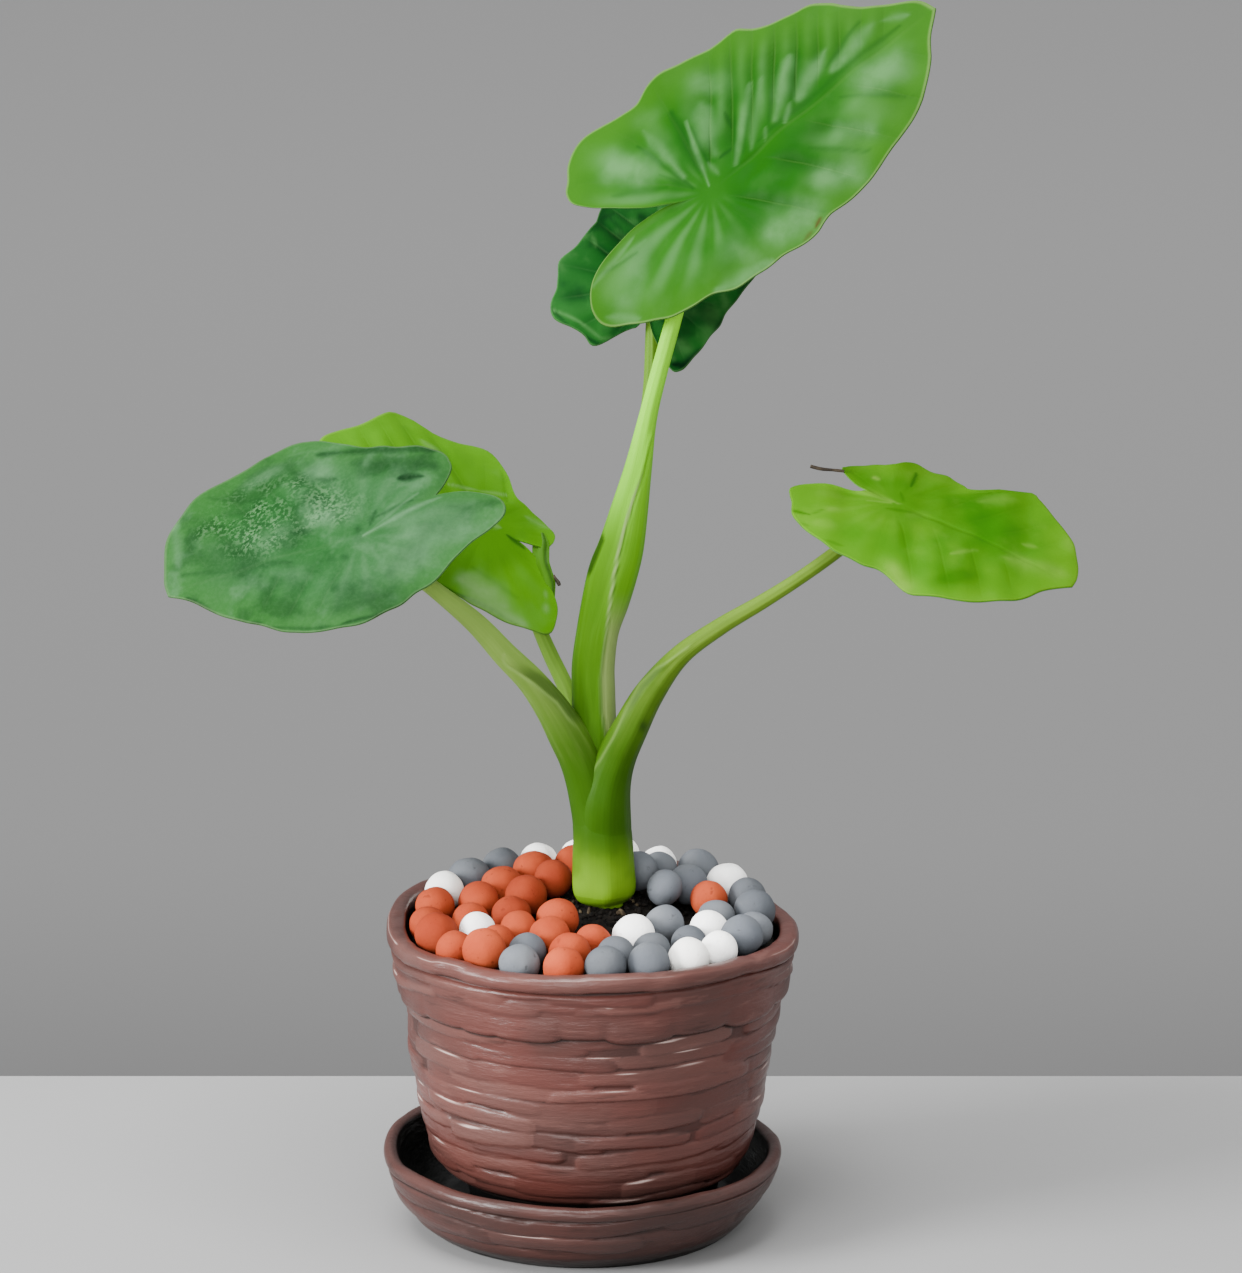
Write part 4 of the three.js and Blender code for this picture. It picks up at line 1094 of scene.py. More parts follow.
print(len(STALKS), "stalks, with", sum(map(len, STALKS.values())), "stations")

# %% [markdown]
# A sheath shows by its edges: a rounded rim with a narrow groove beside it, often whitish where the
# tissue is thin. Each edge below is a line seen from the front, as (x, z) points going up. The signed
# distance from such a line tells each point of a limb on which side it lies, and how near.

# %% Sheath edges
TALL_EDGE = [(7.4, 146), (7.0, 153.9), (5.5, 163.6), (5.2, 174.2), (5.8, 181.2), (7.1, 190.1), (8.3, 200.3),
             (9.2, 207), (11.1, 217.8), (13.9, 227.9), (15.4, 232.7), (18.4, 241), (21, 252)]
LEFT_EDGE = [(1.8, 140), (1.8, 144.5), (2.9, 155.2), (0.5, 160.6), (-2.7, 164.8), (-6.1, 170.2),
             (-8.8, 172.8), (-13.9, 177.8), (-17.4, 180.5), (-22, 184)]
RIGHT_EDGE = [(-9, 120), (-3.6, 131.6), (-2.7, 133.8), (0.4, 142.6), (4.6, 149.1), (8.6, 156.7),
              (12.8, 166.6), (17.0, 174.1), (21.9, 179.5), (25.0, 181.6), (32, 187)]
WING_EDGE = [(0.4, 203), (2.6, 208), (4.6, 213), (6.6, 218.5), (6.6, 224)]


def beside(x, z, line):
    """Signed distance from a line of (x, z) points that goes up: positive on its right."""
    nearest = np.full(x.shape, 1e9)
    side = np.zeros(x.shape)
    for (x0, z0), (x1, z1) in zip(line[:-1], line[1:]):
        dx, dz = x1 - x0, z1 - z0
        share = np.clip(((x - x0) * dx + (z - z0) * dz) / (dx * dx + dz * dz), 0, 1)
        ox, oz = x - x0 - share * dx, z - z0 - share * dz
        away = np.hypot(ox, oz)
        closer = away < nearest
        nearest = np.where(closer, away, nearest)
        side = np.where(closer, np.sign(dz * ox - dx * oz), side)
    return side * nearest


def ribs(x, z, front, turn):
    """Faint lengthwise ribs only. A skin gives the push outwards, and the light, dark and inner tints; dark
    paints shade and scars, and inner a highlight.
    """
    return 0.06 * np.sin(9 * turn + 0.05 * z), 0 * x, 0 * x, 0 * x


def stem_skin(x, z, front, turn):
    """The foot is pinched into a few folds, and painted shade darkens it at the soil."""
    low = 1 - smooth(z, 103, 112)
    return 0.05 * np.sin(9 * turn) + 0.35 * low * np.sin(5 * turn + 1), 0 * x, 0.25 * low * (z < 104), 0 * x


def tall_skin(x, z, front, turn):
    """A rim with a groove beside it, the open tube behind them with a painted highlight, and painted shade
    in the groove and under the wing.
    """
    seen = smooth(front, -0.1, 0.2)
    s = beside(x, z, TALL_EDGE)
    push = 0.35 * bell(s + 0.5, 0.6) - 0.45 * bell(s - 0.35, 0.4) + 0.05 * np.sin(9 * turn)
    rim = bell(s + 0.15, 0.38) * (0.4 + 0.5 * smooth(z, 182, 198)) * (1 - smooth(z, 232, 244))
    tube = smooth(s, 0.1, 0.6) * (1 - smooth(z, 186, 204))
    wing = beside(x, z, WING_EDGE)
    dark = smooth(-wing, 0.0, 0.8) * smooth(z, 205, 209) * (1 - smooth(z, 219, 222)) * 0.8
    dark = dark + 0.6 * bell(s - 0.55, 0.3) * smooth(z, 196, 206) * (1 - smooth(z, 226, 236))
    return push * seen, rim * seen, np.clip(dark, 0, 1) * seen, tube * seen


def left_skin(x, z, front, turn):
    """A strip of painted shade beside the edge, with a paler line where the strip ends."""
    seen = smooth(front, -0.3, 0.1)
    s = -beside(x, z, LEFT_EDGE)
    begun = smooth(z, 158, 164)
    strip = smooth(s, -1, 0.2) * (1 - smooth(s, 2.2, 3.0)) * begun * (1 - smooth(z, 177, 184))
    push = 0.05 * np.sin(9 * turn) - 0.3 * bell(s - 2.6, 0.5) * begun
    return push * seen, 0.2 * bell(s - 3.0, 0.5) * begun * seen, 0.6 * strip * seen, 0 * x


def right_skin(x, z, front, turn):
    """A raised edge, a strip of painted shade beside it higher up, and one dark scar."""
    seen = smooth(front, -0.3, 0.1)
    s = beside(x, z, RIGHT_EDGE)
    strip = (1 - smooth(s, 1.6, 2.4)) * smooth(z, 164, 170) * (1 - smooth(z, 178, 182))
    scar = bell(np.hypot(x - 18.3, 0.6 * (z - 160.5)), 1.3)
    push = 0.05 * np.sin(9 * turn) + 0.2 * bell(s - 0.7, 0.6)
    dark = np.clip(0.4 * strip + 0.75 * scar, 0, 1)
    return push * seen, 0.12 * bell(s - 0.4, 0.4) * seen, dark * seen, 0 * x


SKINS = {"right": right_skin, "left": left_skin, "tall": tall_skin, "left_rear": ribs, "rear": ribs}
print("skins for", ", ".join(SKINS))

# %% [markdown]
# One function makes every limb. It lays a smooth curve through the stations, sets a ring of points
# round each step of it, and then lets the skin push and tint them. The rings turn with the curve but
# keep one side to the front, so that the skin's lines stay where they were drawn.

# %% Limbs
FOOT_Z, SHEATH_Z = 106, 127


def through(stations, steps):
    """Points on a smooth curve through the stations, with their section sizes."""
    made = []
    count = len(stations)
    held = np.array(stations, float)
    for i in range(count - 1):
        p, q, r, s = (held[k] for k in (max(i - 1, 0), i, i + 1, min(i + 2, count - 1)))
        for t in np.arange(steps) / steps:
            made.append(0.5 * (2 * q + (r - p) * t + (2 * p - 5 * q + 4 * r - s) * t ** 2
                               + (3 * q - p - 3 * r + s) * t ** 3))
    made.append(held[-1])
    return np.array(made)


def limb(name, stations, material, sides=64, steps=14, skin=ribs, levels=(140, 150, 160)):
    """A closed tube along the stations, whose skin is then pushed and tinted. The levels are the heights
    at which the stalk's own green begins, is half reached and is reached."""
    rows = through(stations, steps)
    middle = rows[:, :3]
    along = np.gradient(middle, axis=0)
    along /= np.linalg.norm(along, axis=1)[:, None]
    front = np.array([0, -1, 0]) + along * along[:, 1:2]
    front /= np.linalg.norm(front, axis=1)[:, None]
    side = np.cross(along, front)
    turn = np.arange(sides) * TURN / sides
    across = np.sin(turn)[None, :, None] * side[:, None]
    ahead = np.cos(turn)[None, :, None] * front[:, None]
    points = middle[:, None] + across * rows[:, 3, None, None] + ahead * rows[:, 4, None, None]
    skin_of = skin(points[..., 0], points[..., 2], np.cos(turn)[None] + 0 * points[..., 0], turn[None])
    points = points + (across + ahead) * skin_of[0][..., None]
    run = np.cumsum(np.append(0, np.linalg.norm(np.diff(middle, axis=0), axis=1)))
    level = np.interp(points[..., 2], [FOOT_Z, SHEATH_Z, *levels], [0, 1, 1, 1.45, 2])
    around = np.abs(turn / TURN - 0.5) * 2 + 0 * level
    growth = np.stack([level, around, run[:, None] + 0 * turn], -1)
    tint = np.stack(np.broadcast_arrays(*skin_of[1:]), -1)
    measures = {"growth": growth.reshape(-1, 3), "tint": tint.reshape(-1, 3)}
    return make_piece(name, points.reshape(-1, 3), capped_net(len(rows), sides), material, measures)


OWN_GREENS = {
    "right": ("right stalk green", (140, 168, 200)), "left": ("left stalk green", (142, 166, 205)),
    "tall": ("tall stalk green", (120, 235, 300)), "left_rear": ("young stalk green", (120, 150, 175)),
    "rear": ("rear stalk green", (120, 160, 240)),
}
stem = limb("stem_sheaths", STEM, greens["stem green"], sides=72, steps=10, skin=stem_skin)
dress(stem, ["stem"])
for key, stations in STALKS.items():
    green, levels = OWN_GREENS[key]
    stalk = limb("stalk_" + key, stations, greens[green], skin=SKINS[key], levels=levels)
    dress(stalk, ["petiole_" + key])

# %% [markdown]
# ## Dried tips
# Two leaves end in a thin brown thread, where the very point has dried and rolled up. Each is a short
# tube that starts inside the blade. The margin of the young leaf at the left is curled over beside its
# notch, and its thread hangs from that curl.

# %% Dried tips
DRY_GLOSS = 0.2


def dry_finish():
    finish = Finish("dried leaf brown", DRY_GLOSS)
    fibre = finish.noise(300, 3, finish.place().scaled(1, 1, 3))
    colour = finish.mix(fibre.step(0.35, 0.7), (0.0143, 0.0100, 0.0057), (0.0393, 0.0286, 0.0157))
    return finish.paint(colour, 0.6 + fibre * 0.2, finish.bump(fibre, 0.0003, 0.5))


TIPS = {
    "right": [(80.4, 12.2, 239.3, 0.4, 0.25), (78.6, 12.2, 239.5, 0.45, 0.3),
              (76.6, 12.2, 239.7, 0.4, 0.35), (73.2, 11.9, 240.1, 0.5, 0.45), (69.9, 12.0, 240.9, 0.5, 0.4)],
    "left_rear": [(-9.7, 22.9, 203.6, 0.45, 0.45), (-9.2, 22.4, 202.9, 0.45, 0.45),
                  (-8.6, 22.0, 202.2, 0.5, 0.5), (-8.1, 21.6, 201.5, 0.6, 0.6),
                  (-7.8, 21.2, 200.8, 0.45, 0.45)],
}
CURL = [(-13.8, 31.0, 215.3, 1.15, 0.3), (-13.7, 28.6, 212.7, 2.53, 0.45),
        (-13.7, 26.8, 209.9, 2.64, 0.5), (-13.3, 25.0, 207.1, 2.42, 0.5),
        (-12.2, 23.5, 204.3, 2.3, 0.5), (-11.2, 22.2, 201.7, 2.18, 0.5),
        (-10.6, 21.3, 199.0, 1.49, 0.45), (-9.9, 20.6, 196.3, 0.57, 0.3)]


def curl_skin(x, z, front, turn):
    """The fold's shadow lies along the inner side of the curled margin."""
    return 0.1 * np.sin(5 * turn + 0.4 * z), 0 * x, 0.7 * bell(np.sin(turn) + 0.55, 0.3), 0 * x


curl = limb("curled_margin", CURL, greens["curled leaf green"], sides=48, skin=curl_skin,
            levels=(130, 140, 150))
dress(curl)
dried = dry_finish()
for key, stations in TIPS.items():
    dress(limb("dried_tip_" + key, stations, dried, sides=16, steps=6))

# %% [markdown]
# ## Leaf blades: the outline
# A blade is an arrowhead. It is drawn from the point where the stalk joins it: a radius for each angle,
# from the tip round to the notch between the two lobes, for each half. A smooth curve runs through the
# radii. They stand closer together where the edge turns sharply, at the tip and in the lobes.

# %% Outline
SHARES = np.array([0, 0.025, 0.05, 0.08, 0.11, 0.14, 0.17, 0.2, 0.235, 0.252, 0.265, 0.285, 0.31, 0.35,
                   0.4, 0.45, 0.5, 0.55, 0.6, 0.65, 0.7, 0.75, 0.8, 0.84, 0.87, 0.9, 0.93, 0.965, 1])


def outline_radius(radii, share):
    """A smooth curve through the radii, at shares of the way from tip to notch."""
    radii = np.array(radii, float)
    ahead = np.append(radii[1:], radii[-1])
    behind = np.append(radii[0], radii[:-1])
    run = np.append(SHARES[1:], 1) - np.append(0, SHARES[:-1])
    slope = (ahead - behind) / run
    k = np.clip(np.searchsorted(SHARES, share, side="left") - 1, 0, len(SHARES) - 2)
    h = SHARES[k + 1] - SHARES[k]
    t = (share - SHARES[k]) / h
    return ((2 * t ** 3 - 3 * t ** 2 + 1) * radii[k] + (t ** 3 - 2 * t ** 2 + t) * h * slope[k]
            + (3 * t ** 2 - 2 * t ** 3) * radii[k + 1] + (t ** 3 - t ** 2) * h * slope[k + 1])


BLADES = {
    "tall": dict(
        junction=(38.7, 0, 328.6), along=(0.739, 0.034, 0.673), facing=(-0.432, -0.743, 0.512), notch=152,
        left=(88, 85.9, 79.8, 74.1, 71, 69.8, 67.6, 62.4, 57.8, 56.7, 56.2, 55.8, 55.4, 51.9,
              49, 47.2, 47.3, 46, 43.9, 45.8, 51, 55.7, 56, 53.8, 53, 48.4, 34, 22, 12),
        right=(88, 81.8, 77.9, 72.6, 66.9, 60.8, 55.6, 50.9, 46.6, 44.3, 42.6, 41.5, 40.9, 38.7,
               35.3, 33.4, 32.8, 33.4, 34.2, 36.8, 39.7, 42.2, 46.7, 51.3, 52.7, 51.5, 46, 31, 12),
        fold=(0.1, 0.1), bow=(0.1, 0.1), nod=0.1, drop=0.1, waves=5, wave_depth=1.2,
        veins=(8.5, 17), lean=0.75, pleat=(0.9, 1.6), fan=(0.25, 0.08), lumps=0.7),
    "left": dict(
        junction=(-67.7, -15, 225.1), along=(-0.952, 0.147, -0.27), facing=(-0.301, -0.622, 0.723),
        notch=204,
        left=(66, 58.3, 54, 49.8, 46.1, 43.5, 41.2, 39.2, 37.4, 36.7, 36.3, 35.6, 34.9, 34,
              32.8, 31.2, 30, 29.6, 29.4, 30.6, 32.1, 33.3, 36.2, 41.1, 44.6, 45, 42, 35, 26),
        right=(66, 67.2, 67.5, 68.1, 68.9, 69.1, 68.1, 66.8, 63, 61.3, 60.1, 58.5, 57, 56.4,
               54.3, 49.4, 43.2, 38.6, 36.3, 35, 34.6, 35.5, 36.9, 37.2, 37.2, 36.7, 35.5, 31, 26),
        fold=(0.05, 0.05), bow=(0.12, 0.12), nod=0.1, drop=0.06, waves=4, wave_depth=1.0,
        veins=(11, 12), lean=0.7, pleat=(0.35, 0.35), fan=(0.15, 0.3), lumps=0.6),
    "left_rear": dict(
        junction=(-30.1, 28, 218.3), along=(-0.949, -0.049, 0.312), facing=(0.253, -0.709, 0.658), notch=168,
        left=(60, 55.9, 52, 47.8, 44, 40.7, 37.8, 35.2, 32.4, 31.2, 30.3, 29.2, 28.2, 27.1,
              25.8, 26, 26.8, 28.2, 30.1, 32.2, 35.1, 37.1, 39.5, 36.3, 32.8, 27.6, 23.2, 18.5, 10),
        right=(60, 60.1, 60, 59.6, 59.9, 58.5, 56.1, 55.2, 56, 56.6, 56.2, 52, 44, 39.5,
               38.2, 35, 27.2, 20.5, 18, 17.5, 18.3, 19.6, 20.9, 21.4, 21.5, 21.6, 21.4, 19, 10),
        fold=(-0.05, -0.4), bow=(0.05, 0.05), nod=0.1, drop=0.05, waves=5, wave_depth=1.2,
        veins=(9, 9), lean=0.7, pleat=(0.6, 0.6), fan=(0.25, 0.3), lumps=0.6),
    "right": dict(
        junction=(95, 0, 231.7), along=(0.91, -0.317, -0.269), facing=(0.12, -0.42, 0.9), notch=168,
        left=(61, 61, 60.3, 58.6, 57.2, 54.6, 51.6, 49.5, 47.8, 46.6, 32.5, 27.2, 26.6, 25.8,
              25.4, 23.3, 23.3, 22.7, 20.7, 18.2, 18.5, 19.2, 20.5, 21.9, 22.6, 23.2, 23.2, 17.5, 9),
        right=(61, 57.1, 54.7, 53.4, 52, 50.3, 48.4, 46.5, 43.8, 42.6, 41.8, 40.3, 38.3, 34.1,
               30.6, 30.3, 30.2, 30.9, 31.2, 31.1, 31.6, 32, 31.8, 32.2, 31.3, 23.5, 13, 10.5, 9),
        fold=(0.08, 0.08), bow=(0.12, 0.16), nod=0.1, drop=0.05, waves=5, wave_depth=1.0,
        veins=(10, 12), lean=0.7, pleat=(0.2, 0.25), fan=(0.3, 0.15), lumps=0.6),
    "rear": dict(
        junction=(20.6, 31, 293.6), along=(0.093, 0.597, 0.796), facing=(0, -0.8, 0.6), notch=180,
        left=(61, 56.6, 52, 45.6, 40, 36.2, 33.3, 30.5, 27.9, 27.6, 27.6, 27.4, 27.1, 27.1,
              28.1, 29.6, 29.6, 29.6, 32.1, 32.1, 29.3, 27, 26.6, 20.2, 17, 15.7, 15, 11.6, 8),
        right=(61, 57.5, 54, 49.7, 46, 43.6, 41.9, 40.6, 39.9, 39.7, 39.5, 39.1, 38.7, 38.1,
               36.5, 32.1, 29, 27, 26, 25.6, 25.3, 26.1, 27.7, 29.1, 29.7, 28.9, 22, 15.6, 8),
        fold=(0.12, 0.12), bow=(0.05, 0.05), nod=0.1, drop=0.05, waves=5, wave_depth=1.0,
        veins=(8, 8), lean=0.7, pleat=(0.7, 0.6), fan=(0.5, 0.4), lumps=0.6),
}
print("outline of the tall blade at its tip:", outline_radius(BLADES["tall"]["left"], np.array([0.0]))[0])

# %% [markdown]
# ## Leaf blades: veins and pleats
# Side veins leave the midrib at even steps and lean towards the tip. Behind the junction they fan out
# into the lobes. Between two veins the blade swells into a soft pleat, and it is these pleats that
# break the light into patches. Each point also stores how far it lies from its vein, and the finish
# draws its lines from that, so lines and pleats agree.

# %% Blade surface
FAN_STEP = 0.42


def blade_net(leaf, spokes, rings):
    """The polar net of both halves: share of the way out, signed angle and outline radius. Spokes
    gather at the tip and at the notch, and the margin between them is nibbled a little."""
    angle, radius = [], []
    halves = ((1, leaf["notch"], leaf["left"]), (-1, 360 - leaf["notch"], leaf["right"]))
    for side, turn, radii in halves:
        j = np.arange(spokes)
        even = (j if side > 0 else spokes - j) / spokes
        share = even - 0.11 * np.sin(TURN * even)
        nibble = 0.25 * np.sin(31 * share + side) + 0.2 * np.sin(57 * share + 2)
        edge = smooth(share, 0.0, 0.06) * smooth(1 - share, 0.0, 0.06)
        angle.append(side * np.radians(share * turn))
        radius.append(outline_radius(radii, share) - 0.3 + nibble * edge)
    reach = (np.arange(1, rings + 1) / rings)[:, None] ** 0.9
    return np.broadcast_arrays(reach, np.concatenate(angle)[None], np.concatenate(radius)[None])


def vein_count(leaf, turn, r, half):
    """Counts the side veins, so that whole numbers lie on one, and gives millimetres per count."""
    a, side = r * np.cos(turn), r * np.abs(np.sin(turn))
    lean = leaf["lean"] * (1 - 0.12 * side / 40)
    spacing = np.where(half > 0, *leaf["veins"])
    swept = a - lean * side
    ahead = (swept > 0) & (turn < np.pi / 2)
    fan = turn - np.arctan2(1, lean)
    phase = np.where(ahead, swept / spacing, -fan / FAN_STEP)
    return phase, np.where(ahead, spacing / math.hypot(1, leaf["lean"]), r * FAN_STEP)


def lumps(a, b, seed):
    """Soft random dents and swellings, between about -1 and 1."""
    draw = np.random.default_rng(seed)
    total = 0
    for size in (34, 26, 19, 14, 11):
        heading, shift = draw.random(2) * TURN
        total = total + np.sin((a * np.cos(heading) + b * np.sin(heading)) * TURN / size + shift) * size / 60
    return total


def blade_height(leaf, a, b, reach, angle, half):
    """The large shape: folded at the midrib, bowed, nodding at the tip and waved at the margin."""
    lift = np.where(half > 0, *leaf["fold"]) * (np.sqrt(b ** 2 + 16) - 4)
    bow = np.where(half > 0, *leaf["bow"]) * b ** 2 / 35
    nod = leaf["nod"] * np.maximum(a, 0) ** 2 / leaf["left"][0]
    drop = leaf["drop"] * np.minimum(a, 0) ** 2 / 25
    wave = leaf["wave_depth"] * reach ** 3 * np.sin(leaf["waves"] * angle + leaf["notch"])
    return lift - bow - nod - drop + wave


def marks_at(a, b, marks):
    """How strongly the pale, dark and dry marks of a leaf show at each point."""
    wobble = 0.8 * lumps(2.3 * a, 2.3 * b, 9)
    shown = {"pale": 0 * a, "dark": 0 * a, "dry": 0 * a, "speckled": 0 * a}
    for kind, strokes in marks.items():
        for a0, b0, a1, b1, width, strength in strokes:
            da, db = a1 - a0, b1 - b0
            share = np.clip(((a - a0) * da + (b - b0) * db) / max(da * da + db * db, 1e-6), 0, 1)
            away = np.hypot(a - a0 - share * da, b - b0 - share * db) + wobble * min(width / 4, 1)
            taper = 1 - 0.6 * np.abs(2 * share - 1) ** 2 * (np.hypot(da, db) > 3 * width)
            shown[kind] = np.maximum(shown[kind], strength * bell(np.maximum(away, 0), width * taper))
    return shown["pale"], shown["dark"], np.maximum(shown["dry"], shown["speckled"])


print("pleat depth of the tall blade:", BLADES["tall"]["pleat"])

# %% [markdown]
# ## Leaf blades: the mesh
# Each blade is a closed skin: the same net once for the face and once for the underside, with one
# point at the centre of each, and a strip round the margin. The midrib stands out below, as on the
# real leaf, and above it is a shallow groove.

# %% Blade mesh
BLADE_THICKNESS = 0.8
MIDRIB_DEPTH = 1.3
MIDRIB_GROOVE = 0.3


def with_centre(centre, *columns):
    """One row of numbers for the centre of the net, then one for each of its points."""
    return np.vstack([centre, np.stack(columns, -1)])


def blade_faces(rings, columns):
    """Both skins of a blade, their centres and the strip round its margin."""
    start = 1 + rings * columns
    top, under = 1 + (rings - 1) * columns, start + 1 + (rings - 1) * columns
    faces = net_faces(rings, columns, 1, flip=True) + net_faces(rings, columns, start + 1)
    for j in range(columns):
        k = (j + 1) % columns
        faces.append((0, 1 + j, 1 + k))
        faces.append((start, start + 1 + k, start + 1 + j))
        faces.append((top + j, under + j, under + k, top + k))
    return faces


def make_blade(name, leaf, material, marks, spokes, rings):
    along = Vector(leaf["along"]).normalized()
    facing = Vector(leaf["facing"])
    facing = (facing - along * facing.dot(along)).normalized()
    basis = np.array([along, facing.cross(along), facing])
    reach, angle, radius = (part.ravel() for part in blade_net(leaf, spokes, rings))
    r, turn = reach * radius, np.abs(angle)
    half = np.tile(np.repeat([1, -1], spokes), rings)
    a, b = r * np.cos(angle), r * np.sin(angle)
    side = np.where(turn < np.pi / 2, np.abs(b), r)
    phase, spread = vein_count(leaf, turn, r, half)
    near = smooth(side, 1, 12) * smooth(r, 3, 16) * (1 - 0.8 * smooth(reach, 0.7, 1.0))
    behind = np.where(half > 0, *leaf["fan"])
    near = near * (1 - (1 - behind) * smooth(turn, 0.85, 1.5))
    pleat = np.where(half > 0, *leaf["pleat"]) * (np.abs(np.sin(np.pi * phase)) ** 0.8 - 0.5) * near
    lump = leaf["lumps"] * lumps(a, b, len(name)) * smooth(r, 2, 15)
    height = blade_height(leaf, a, b, reach, angle, half) + pleat + lump
    height = height - MIDRIB_GROOVE * bell(side, 1.1) * (1 - reach) * smooth(a, 3, 12)
    thin = BLADE_THICKNESS * (1 - 0.3 * reach) / 2
    rib = MIDRIB_DEPTH * (1 - reach) * bell(side, 1.3) * smooth(a, -3, 1)
    shown = marks_at(a, b, marks)
    points, measures = [], {"leaf": [], "veins": [], "marks": []}
    # At the centre the reach is 0, so a small number there still tells the face from the underside.
    for face in (1, -1):
        skin = height + face * thin - (rib if face < 0 else 0)
        centre = face * BLADE_THICKNESS / 2 - (MIDRIB_DEPTH if face < 0 else 0)
        points.append(with_centre([0, 0, centre], a, b, skin) @ basis + np.array(leaf["junction"]))
        measures["leaf"].append(with_centre([0, 0.01 * face, 0], side, reach * face, 0 * side))
        measures["veins"].append(with_centre([0, 0, 0], phase, spread, near))
        measures["marks"].append(with_centre([0, 0, 0], *shown))
    held = {key: np.vstack(parts) for key, parts in measures.items()}
    return make_piece("leaf_" + name, np.vstack(points), blade_faces(rings, 2 * spokes), material, held)


print("faces of a small blade:", len(blade_faces(4, 12)))

# %% [markdown]
# ## Leaf blades: the finish
# A taro leaf is waxy. Its veins are fine, its margin has a thin light line, and its underside is
# paler and duller than its face. The margin line is drawn stronger and the underside paler still, as
# painted light on the shaded rim and backs. Painted highlights lie on the swellings between the veins
# and in soft patches, and painted shade along the sunken veins. This could be painted as a picture,
# but the mesh already stores where the veins and the margin are, so the finish draws them itself,
# sharp at any distance.

# %% Waxy leaf
LEAF_GLOSS = 0.012
# The underside's own paler green, made paler still as painted light on the shaded backs.
UNDERSIDE = (0.1, 0.2, 0.055)
SPECKLE = (0.075, 0.15, 0.07)
DRY_BROWN = (0.0278, 0.0179, 0.0048)


def leaf_finish(name, look):
    finish = Finish(name, LEAF_GLOSS)
    side, face = finish.measure("leaf")[:2]
    phase, spread, near = finish.measure("veins")
    pale, dark, worn = finish.measure("marks")
    reach = abs(face)
    between = phase.to_nearest(1)
    away = between * spread
    vein = (1 - away.step(0.1, 0.6)) * near
    # Painted shade: soft dark bands along the sunken veins.
    vein_shade = (1 - away.step(0.2, look["soft"])) * near
    rib = (1 - side.step(0.25, 1.0)) * reach.step(0.03, 0.2) * (1 - reach.step(0.8, 1.0))
    # Painted highlight: sheen on the swellings between the veins.
    swell_sheen = between.step(0.12, 0.48) * side.step(3, 10) * (1 - reach.step(0.72, 0.98))
    cloud = finish.noise(28, 3).step(0.35, 0.68)
    patch = finish.noise(60, 4, roughness=0.6)
    fine = finish.noise(420, 3, roughness=0.6)
    under = 1 - face.step(-0.005, 0.005)
    if look["speckled"]:
        spots = finish.noise(820, 2, roughness=0.6)
        clear = worn * finish.noise(130, 3).step(0.35, 0.6) + 0.08
        wear = [(spots.step(0.48, 0.6) * clear * 0.35, SPECKLE),
                ((1 - spots).step(0.48, 0.6) * clear * 0.6, look["deep"])]
    else:
        wear = [(worn, DRY_BROWN)]
    colour = finish.coats(
        look["main"],
        (cloud, look["light"]),
        # Painted highlight on the swellings.
        (swell_sheen * cloud * look["swell_sheen"], look["sheen"]),
        (reach.step(0.5, 1.0) * 0.55, look["edge"]),
        # Painted highlight: soft patches of sheen.
        (patch.step(0.52, 0.72) * look["patch"], look["sheen"]),
        ((1 - finish.noise(75, 3)).step(0.48, 0.66) * look["mottle"], look["deep"]),
        # Painted shade along the veins.
        (vein_shade * look["vein_shade"], look["deep"]),
        # Dark marks: mostly painted shade of folds, some darker patches of the leaf's own.
        (dark, look["deep"]),
        # Pale marks: mostly painted highlights.
        (pale * (0.55 + patch.step(0.36, 0.62) * 0.5), look["sheen"]),
        (vein * look["vein"], look["line"]),
        (rib * look["rib"], look["line"]),
        # The margin's own light line, drawn stronger as painted light on the shaded rim.
        (reach.step(0.98, 0.997) * look["margin"], look["line"]),
        *wear,
        # Underside: paler, partly painted light on the shaded back.
        (under * 0.7, UNDERSIDE),
    )
    rough = look["rough"] + fine * 0.12 + under * 0.2
    height = fine * 0.2 - vein * look["groove"] - rib * 0.15 + patch * 0.5
    return finish.paint(colour, rough, finish.bump(height, 0.0007, 0.5))


print("a leaf's finish is ready")

# %% [markdown]
# ## Leaf blades: five colourings
# The tall leaf is a deep green, the old one at the left is bluish and worn, the young ones are lime
# green, and the rear one is dark. Each entry names its colours and how strongly each effect shows.
# Sheen is the colour of the painted highlights, and deep serves both the leaf's own dark mottling and
# the painted shade.

